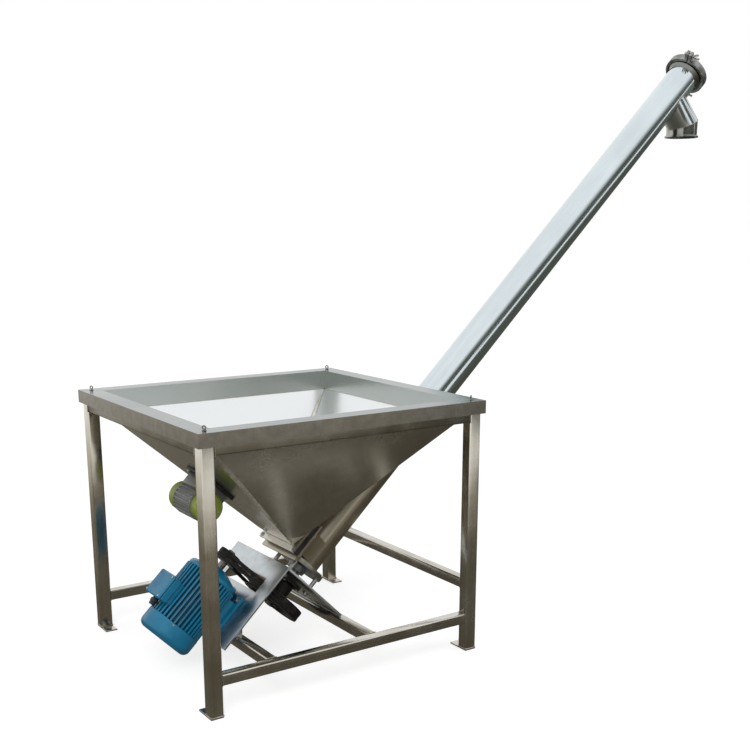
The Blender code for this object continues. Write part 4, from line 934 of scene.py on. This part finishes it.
# Screw: a flight of rolled strip wound and welded on a core tube, with turned shaft ends.
# The steel is darker than the tube, with a fine even grain and 30 mm patches of handling wear.
SHAFT_STEEL = stainless(
    "turned_shaft_steel", "#5e5c58", "#8b8984", (0.0009, 0.0009, 0.0009), patch=0.03,
    smooth=0.16, rough=0.34, wave=0.0002,
)
dress(["screw_core", "screw_flight"], SHAFT_STEEL)


# Lower end of the tube: a turned cover on the flange, and four spacer studs to the end plate.
# The cover is machined casting; the studs are plated, with a nut and washer at each end.
dress(["lower_cover"], CASTING, 0.0006)
dress(["spacer_stud_%d" % number for number in (1, 2, 3, 4)], ZINC)
STUD_OUT, STUD_TOP, STUD_FOOT = 0.052, -0.2215, -0.294
stud_nuts = ([], [])
for side in (-STUD_OUT, STUD_OUT):
    for height in (-STUD_OUT, STUD_OUT):
        top = Matrix.Translation((side, height, STUD_TOP))
        set_bolt(stud_nuts, TUBE_PLACE @ top, M8_ACROSS, nut=False)
        foot = Matrix.Translation((side, height, STUD_FOOT))
        set_bolt(stud_nuts, TUBE_PLACE @ foot @ Z_BACK, M8_ACROSS, nut=False)
make_piece("stud_nuts", stud_nuts, ZINC, edge=0.0003)


# End plate, motor plate and wedge pad: cold rolled stainless plate, cut and welded square.
# The mill finish is cool grey and nearly even, with a 1 mm grain and soft 90 mm patches.
PLATE_STEEL = stainless(
    "mill_plate_steel", "#b6bcbf", "#d4d9dc", (0.0012, 0.0012, 0.0012), patch=0.09,
    smooth=0.22, rough=0.40, wave=0.0010,
)
dress(["end_plate", "motor_plate", "plate_pad"], PLATE_STEEL, 0.0006)
# The plates are welded on both faces; the lower bead stops at the belt slot.
PLATE_SIDE, SLOT_SIDE, PLATE_UNDER = 0.168, 0.110, 0.1293
UPPER_FACE, LOWER_FACE = -0.2865, -0.2937
plate_beads = ([], [])
for start, end, run in (
    (-PLATE_SIDE, PLATE_SIDE, UPPER_FACE), (-PLATE_SIDE, -SLOT_SIDE, LOWER_FACE),
    (SLOT_SIDE, PLATE_SIDE, LOWER_FACE),
):
    bead(plate_beads, [on_tube(start, PLATE_UNDER, run), on_tube(end, PLATE_UNDER, run)], 0.0020)
make_piece("plate_weld_beads", plate_beads, WELD)


# Bearing housing and the two pulleys: grey iron castings, painted black. Sand casting leaves
# a grainy skin under the paint, and brown dust lies on it in places.
def painted_iron():
    # Black enamel on cast iron: IOR 1.5, grain about 2 mm, dust in patches of 35 mm.
    material, tree = new_finish("painted_iron")
    tree.nodes["Principled BSDF"].inputs["IOR"].default_value = 1.5
    place = add_node(tree, "ShaderNodeTexCoord")
    grain = add_node(
        tree, "ShaderNodeTexNoise", {"Scale": 420.0, "Detail": 4.0, "Roughness": 0.7},
        {"Vector": place.outputs["Object"]},
    )
    dust = add_node(
        tree, "ShaderNodeTexNoise", {"Scale": 28.0, "Detail": 5.0},
        {"Vector": place.outputs["Object"]},
    )
    veil = add_node(
        tree, "ShaderNodeMapRange", {"From Min": 0.48, "From Max": 0.75},
        {"Value": dust.outputs["Fac"]},
    )
    colour = add_node(
        tree, "ShaderNodeMix", {"data_type": "RGBA", 6: linear("#1c1a1a"), 7: linear("#4a423b")},
        {0: veil.outputs[0]},
    )
    gloss = add_node(
        tree, "ShaderNodeMapRange", {"From Min": 0.3, "From Max": 0.7, "To Min": 0.35, "To Max": 0.65},
        {"Value": grain.outputs["Fac"]},
    )
    relief = add_node(
        tree, "ShaderNodeBump", {"Strength": 0.6, "Distance": 0.00025},
        {"Height": grain.outputs["Fac"]},
    )
    lay_finish(tree, colour.outputs[2], gloss.outputs[0], relief.outputs[0])
    return material


IRON = painted_iron()
dress(["bearing_housing", "screw_pulley", "motor_pulley"], IRON, 0.0005)
BEARING_BOLT_R, BEARING_FACE, BEARING_GRIP = 0.043, -0.3023, 0.0163


def ring_spot(radius, degrees, height=0.0):
    angle = math.radians(degrees)
    return Matrix.Translation((radius * math.cos(angle), radius * math.sin(angle), height))


bearing_bolts = ([], [])
for i in range(4):
    spot = ring_spot(BEARING_BOLT_R, 45 + 90 * i, BEARING_FACE)
    set_bolt(bearing_bolts, TUBE_PLACE @ spot @ Z_BACK, M5_ACROSS, BEARING_GRIP)
make_piece("bearing_bolts", bearing_bolts, ZINC, edge=0.0003)


# Drive belts: two wedge belts of black rubber over cord, in a worn fabric cover.
# The weave is about 0.6 mm and is drawn as 1.5 mm; the tops are scuffed a little grey.
BELT = dusty_rubber(
    "belt_fabric", 1.5, 0.3, 660.0, 0.0002, (60.0, 5.0), 0.75, ("#1b191a", "#393433"),
    (0.5, 0.85),
)
dress(["drive_belt_upper", "drive_belt_lower"], BELT, 0.0008)


# Motor: a ribbed aluminium housing on two foot rails, an end shield, a pressed fan cover
# and a terminal box, all sprayed in one blue enamel after assembly.
def sprayed_enamel(name, shade, light, grime, dirt=0.5):
    # Machine enamel: IOR 1.5, orange peel about 2 mm, grime in patches of 25 mm.
    material, tree = new_finish(name)
    shader = tree.nodes["Principled BSDF"]
    shader.inputs["IOR"].default_value = 1.5
    shader.inputs["Coat Weight"].default_value = 0.10
    shader.inputs["Coat Roughness"].default_value = 0.18
    place = add_node(tree, "ShaderNodeTexCoord")
    peel = add_node(
        tree, "ShaderNodeTexNoise", {"Scale": 480.0, "Detail": 2.0},
        {"Vector": place.outputs["Object"]},
    )
    drift = add_node(
        tree, "ShaderNodeTexNoise", {"Scale": 14.0, "Detail": 4.0},
        {"Vector": place.outputs["Object"]},
    )
    dust = add_node(
        tree, "ShaderNodeTexNoise", {"Scale": 42.0, "Detail": 8.0, "Roughness": 0.7},
        {"Vector": place.outputs["Object"]},
    )
    coat = add_node(
        tree, "ShaderNodeMix", {"data_type": "RGBA", 6: linear(shade), 7: linear(light)},
        {0: drift.outputs["Fac"]},
    )
    veil = add_node(
        tree, "ShaderNodeMapRange", {"From Min": 0.55, "From Max": 0.8, "To Max": dirt},
        {"Value": dust.outputs["Fac"]},
    )
    colour = add_node(
        tree, "ShaderNodeMix", {"data_type": "RGBA", 7: linear(grime)},
        {0: veil.outputs[0], 6: coat.outputs[2]},
    )
    gloss = add_node(
        tree, "ShaderNodeMapRange", {"From Min": 0.35, "From Max": 0.75, "To Min": 0.28, "To Max": 0.52},
        {"Value": dust.outputs["Fac"]},
    )
    relief = add_node(
        tree, "ShaderNodeBump", {"Strength": 0.4, "Distance": 0.00015},
        {"Height": peel.outputs["Fac"]},
    )
    lay_finish(tree, colour.outputs[2], gloss.outputs[0], relief.outputs[0])
    return material


MOTOR_HEIGHT = 0.2258
MOTOR_PLACE = TUBE_PLACE @ Matrix.Translation((0.0, MOTOR_HEIGHT, 0.0))
BLUE_TONES = ("#035a7d", "#0d82a8", "#12384a")
GROOVE_R, RIB_R = 0.077, 0.087


def ribbed_blue_enamel():
    # The same enamel, with the grooves between the ribs painted dark as painted shade.
    material = sprayed_enamel("ribbed_blue_enamel", *BLUE_TONES)
    tree = material.node_tree
    shader = tree.nodes["Principled BSDF"]
    coat = shader.inputs["Base Color"].links[0].from_socket
    spot = add_node(tree, "ShaderNodeNewGeometry")
    from_axis = add_node(
        tree, "ShaderNodeVectorMath", {"operation": "SUBTRACT", 1: MOTOR_PLACE.translation},
        {0: spot.outputs["Position"]},
    )
    sideways = add_node(
        tree, "ShaderNodeVectorMath", {"operation": "CROSS_PRODUCT", 1: UPHILL},
        {0: from_axis.outputs[0]},
    )
    radius = add_node(
        tree, "ShaderNodeVectorMath", {"operation": "LENGTH"}, {0: sideways.outputs[0]}
    )
    tip = add_node(
        tree, "ShaderNodeMapRange", {"From Min": GROOVE_R, "From Max": RIB_R},
        {"Value": radius.outputs["Value"]},
    )
    # Painted shade: the grooves between the ribs are coloured near black.
    painted_groove_shade = add_node(
        tree, "ShaderNodeMix", {"data_type": "RGBA", 6: linear("#06202f")},
        {0: tip.outputs[0], 7: coat},
    )
    tree.links.new(painted_groove_shade.outputs[2], shader.inputs["Base Color"])
    return material


BLUE = sprayed_enamel("motor_blue_enamel", *BLUE_TONES)
dress(["motor_housing"], ribbed_blue_enamel(), 0.0005)
dress(["motor_end_shield"], BLUE, 0.0010)
dress(["terminal_box", "terminal_lid"], BLUE)
dress(["motor_rotor"], SHAFT_STEEL)

# The fan cover is pressed from 1.4 mm sheet, with three rings of slots between 12 spokes.
GUARD_R, GUARD_EDGE, GUARD_SHEET = 0.0898, 0.022, 0.0014
GUARD_LOW, GUARD_HIGH = -0.6888, -0.6285
GUARD_CELLS, CELLS_TO_SPOKE = 60, 5
guard_profile = [
    (0.010, 0.0, False), (0.018, 0.0, False), (0.030, 0.0, True), (0.035, 0.0, False),
    (0.047, 0.0, True), (0.052, 0.0, False), (0.064, 0.0, True),
]
for i in range(9):
    turn = math.radians(90 * i / 8)
    guard_profile.append((
        GUARD_R - GUARD_EDGE + GUARD_EDGE * math.sin(turn),
        GUARD_EDGE - GUARD_EDGE * math.cos(turn), False,
    ))
guard_profile.append((GUARD_R, GUARD_HIGH - GUARD_LOW, False))
guard = ([], [])
for radius, lift, _ in guard_profile:
    ring = ring_of(Vector((0, 0, GUARD_LOW + lift)), BESIDE, ACROSS, radius, GUARD_CELLS)
    guard[0].extend(tuple(MOTOR_PLACE @ point) for point in ring)
for i in range(len(guard_profile) - 1):
    for j in range(GUARD_CELLS):
        if guard_profile[i + 1][2] and j % CELLS_TO_SPOKE != 0:
            continue
        k = (j + 1) % GUARD_CELLS
        low, high = i * GUARD_CELLS, (i + 1) * GUARD_CELLS
        guard[1].append((low + j, low + k, high + k, high + j))
guard[1].append(tuple(range(GUARD_CELLS)))
guard_piece = make_piece("motor_fan_guard", guard, BLUE)
pressing = guard_piece.modifiers.new("sheet", "SOLIDIFY")
pressing.thickness = GUARD_SHEET
pressing.offset = -1.0
guard_piece.modifiers.move(len(guard_piece.modifiers) - 1, 0)
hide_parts("fan_cover")

# Four lugs on the end shield take its bolts; four more bolts go down through the feet.
LUG_OUT, LUG_FACE = 0.0765, -0.4335
LUG = [(0.0100, -0.4535), (0.0100, -0.4360), (0.0090, LUG_FACE)]
FOOT_SIDE, FOOT_FACE, FOOT_RUNS = 0.070, 0.1458, (-0.581, -0.456)
FOOT_ACROSS, FOOT_GRIP = 0.012, 0.0163
shield_lugs = ([], [])
motor_bolts = ([], [])
for i in range(4):
    turned(shield_lugs, MOTOR_PLACE @ ring_spot(LUG_OUT, 45 + 90 * i), LUG, 20)
    face = ring_spot(LUG_OUT, 45 + 90 * i, LUG_FACE)
    set_bolt(motor_bolts, MOTOR_PLACE @ face, M5_ACROSS, nut=False)
make_piece("motor_shield_lugs", shield_lugs, BLUE, edge=0.0006)
for side in (-FOOT_SIDE, FOOT_SIDE):
    for run in FOOT_RUNS:
        spot = Matrix.Translation((side, FOOT_FACE, run))
        set_bolt(motor_bolts, TUBE_PLACE @ spot @ Z_TO_Y, FOOT_ACROSS, FOOT_GRIP)
make_piece("motor_bolts", motor_bolts, ZINC, edge=0.0003)


# Small motor parts: a gland and a fan of moulded black nylon, four slotted screws in the
# terminal box's lid and three round the fan cover. The screws are pan heads, zinc plated.
def moulded_nylon():
    # Glass filled nylon: IOR 1.53, satin, with a fine fleck about 0.7 mm across.
    material, tree = new_finish("moulded_nylon")
    tree.nodes["Principled BSDF"].inputs["IOR"].default_value = 1.53
    place = add_node(tree, "ShaderNodeTexCoord")
    fleck = add_node(
        tree, "ShaderNodeTexNoise", {"Scale": 1400.0, "Detail": 2.0},
        {"Vector": place.outputs["Object"]},
    )
    colour = add_node(
        tree, "ShaderNodeMix", {"data_type": "RGBA", 6: linear("#1a1b1c"), 7: linear("#303233")},
        {0: fleck.outputs["Fac"]},
    )
    gloss = add_node(
        tree, "ShaderNodeMapRange", {"To Min": 0.35, "To Max": 0.6}, {"Value": fleck.outputs["Fac"]}
    )
    relief = add_node(
        tree, "ShaderNodeBump", {"Strength": 0.3, "Distance": 0.0001},
        {"Height": fleck.outputs["Fac"]},
    )
    lay_finish(tree, colour.outputs[2], gloss.outputs[0], relief.outputs[0])
    return material


dress(["cable_gland", "motor_fan"], moulded_nylon(), 0.0004)


def slotted_screw(shape, place, radius):
    # A pan head: two half discs, each an arc of 156 degrees, stand either side of the slot.
    disc, crown = radius * 0.30, radius * 0.55
    turned(shape, place, [(radius, 0.0), (radius, disc)], 20)
    for way in (-1, 1):
        arc = [way * (12 + 156 * j / 8) for j in range(9)]
        skin(shape, [
            [place @ ring_spot(reach, degrees, height).translation for degrees in arc]
            for height, reach in ((disc, radius), (crown, radius * 0.86))
        ])


LID_SIDE, LID_TOP, LID_RUNS, LID_SCREW_R = 0.040, 0.1286, (-0.594, -0.526), 0.0036
GUARD_SCREW_RUN, GUARD_SCREW_R = -0.6345, 0.0030
motor_screws = ([], [])
for side in (-LID_SIDE, LID_SIDE):
    for run in LID_RUNS:
        spot = Matrix.Translation((side, LID_TOP, run))
        slotted_screw(motor_screws, MOTOR_PLACE @ spot @ Z_TO_Y, LID_SCREW_R)
for i in range(3):
    out = ring_spot(1.0, 30 + 120 * i).translation
    turn = out.to_track_quat("Z", "Y").to_matrix().to_4x4()
    spot = Matrix.Translation(out * (GUARD_R - 0.0002) + Vector((0, 0, GUARD_SCREW_RUN)))
    slotted_screw(motor_screws, MOTOR_PLACE @ spot @ turn, GUARD_SCREW_R)
make_piece("motor_screws", motor_screws, ZINC)


# Vibrator: a ribbed aluminium body in grey enamel, with a lime green cap screwed on each end.
# Its foot is bolted to a black painted iron plate, which lies on the hopper's left wall.
GREY = sprayed_enamel("vibrator_grey_enamel", "#5f615d", "#7c7e79", "#3a3934")
LIME = sprayed_enamel("cap_lime_enamel", "#77852f", "#93a238", "#4c5230", dirt=0.4)
dress(["vibrator_body"], GREY, 0.0004)
dress(["vibrator_cap_front", "vibrator_cap_back"], LIME, 0.0020)
dress(["vibrator_mount"], IRON, 0.0010)
dress(["vibrator_rotor"], SHAFT_STEEL)

VIBRATOR_POINT = Vector((0.160, 0.400, 0.503))
MOUNT_DOWN, MOUNT_SIDE, MOUNT_FACE = 0.055, 0.052, 0.0662
CAP_FACE, CAP_SCREW_OUT, CAP_SCREW_R = 0.1032, 0.030, 0.0036
wall_run = neck_out[0] - fold_out[0]
wall_down = Vector((wall_run.x, 0.0, wall_run.z)).normalized()
MOUNT_TURN = Matrix((wall_down, ACROSS, wall_down.cross(ACROSS))).transposed().to_4x4()
MOUNT_PLACE = Matrix.Translation(VIBRATOR_POINT) @ MOUNT_TURN
vibrator_bolts = ([], [])
for down in (-MOUNT_DOWN, MOUNT_DOWN):
    for side in (-MOUNT_SIDE, MOUNT_SIDE):
        spot = Matrix.Translation((down, side, MOUNT_FACE))
        set_bolt(vibrator_bolts, MOUNT_PLACE @ spot @ Z_BACK, M6_ACROSS, nut=False)
for way in (-1, 1):
    face = VIBRATOR_POINT + ACROSS * (way * CAP_FACE)
    turn = (ACROSS * way).to_track_quat("Z", "Y").to_matrix().to_4x4()
    for i in range(3):
        spot = ring_spot(CAP_SCREW_OUT, 90 + 120 * i)
        slotted_screw(vibrator_bolts, Matrix.Translation(face) @ turn @ spot, CAP_SCREW_R)
make_piece("vibrator_bolts", vibrator_bolts, ZINC, edge=0.0003)


# Top end: a cover with a bush over the ferrule, held by a two-part cast clamp ring.
# One bolt has a wing nut so that the cover comes off by hand, the other is the hinge bolt.
dress(["top_cover", "clamp_half_front", "clamp_half_back"], CASTING, 0.0008)
dress(["wing_nut"], CASTING, 0.0005)
dress(["clamp_bolt_upper", "clamp_bolt_lower"], ZINC, 0.0003)
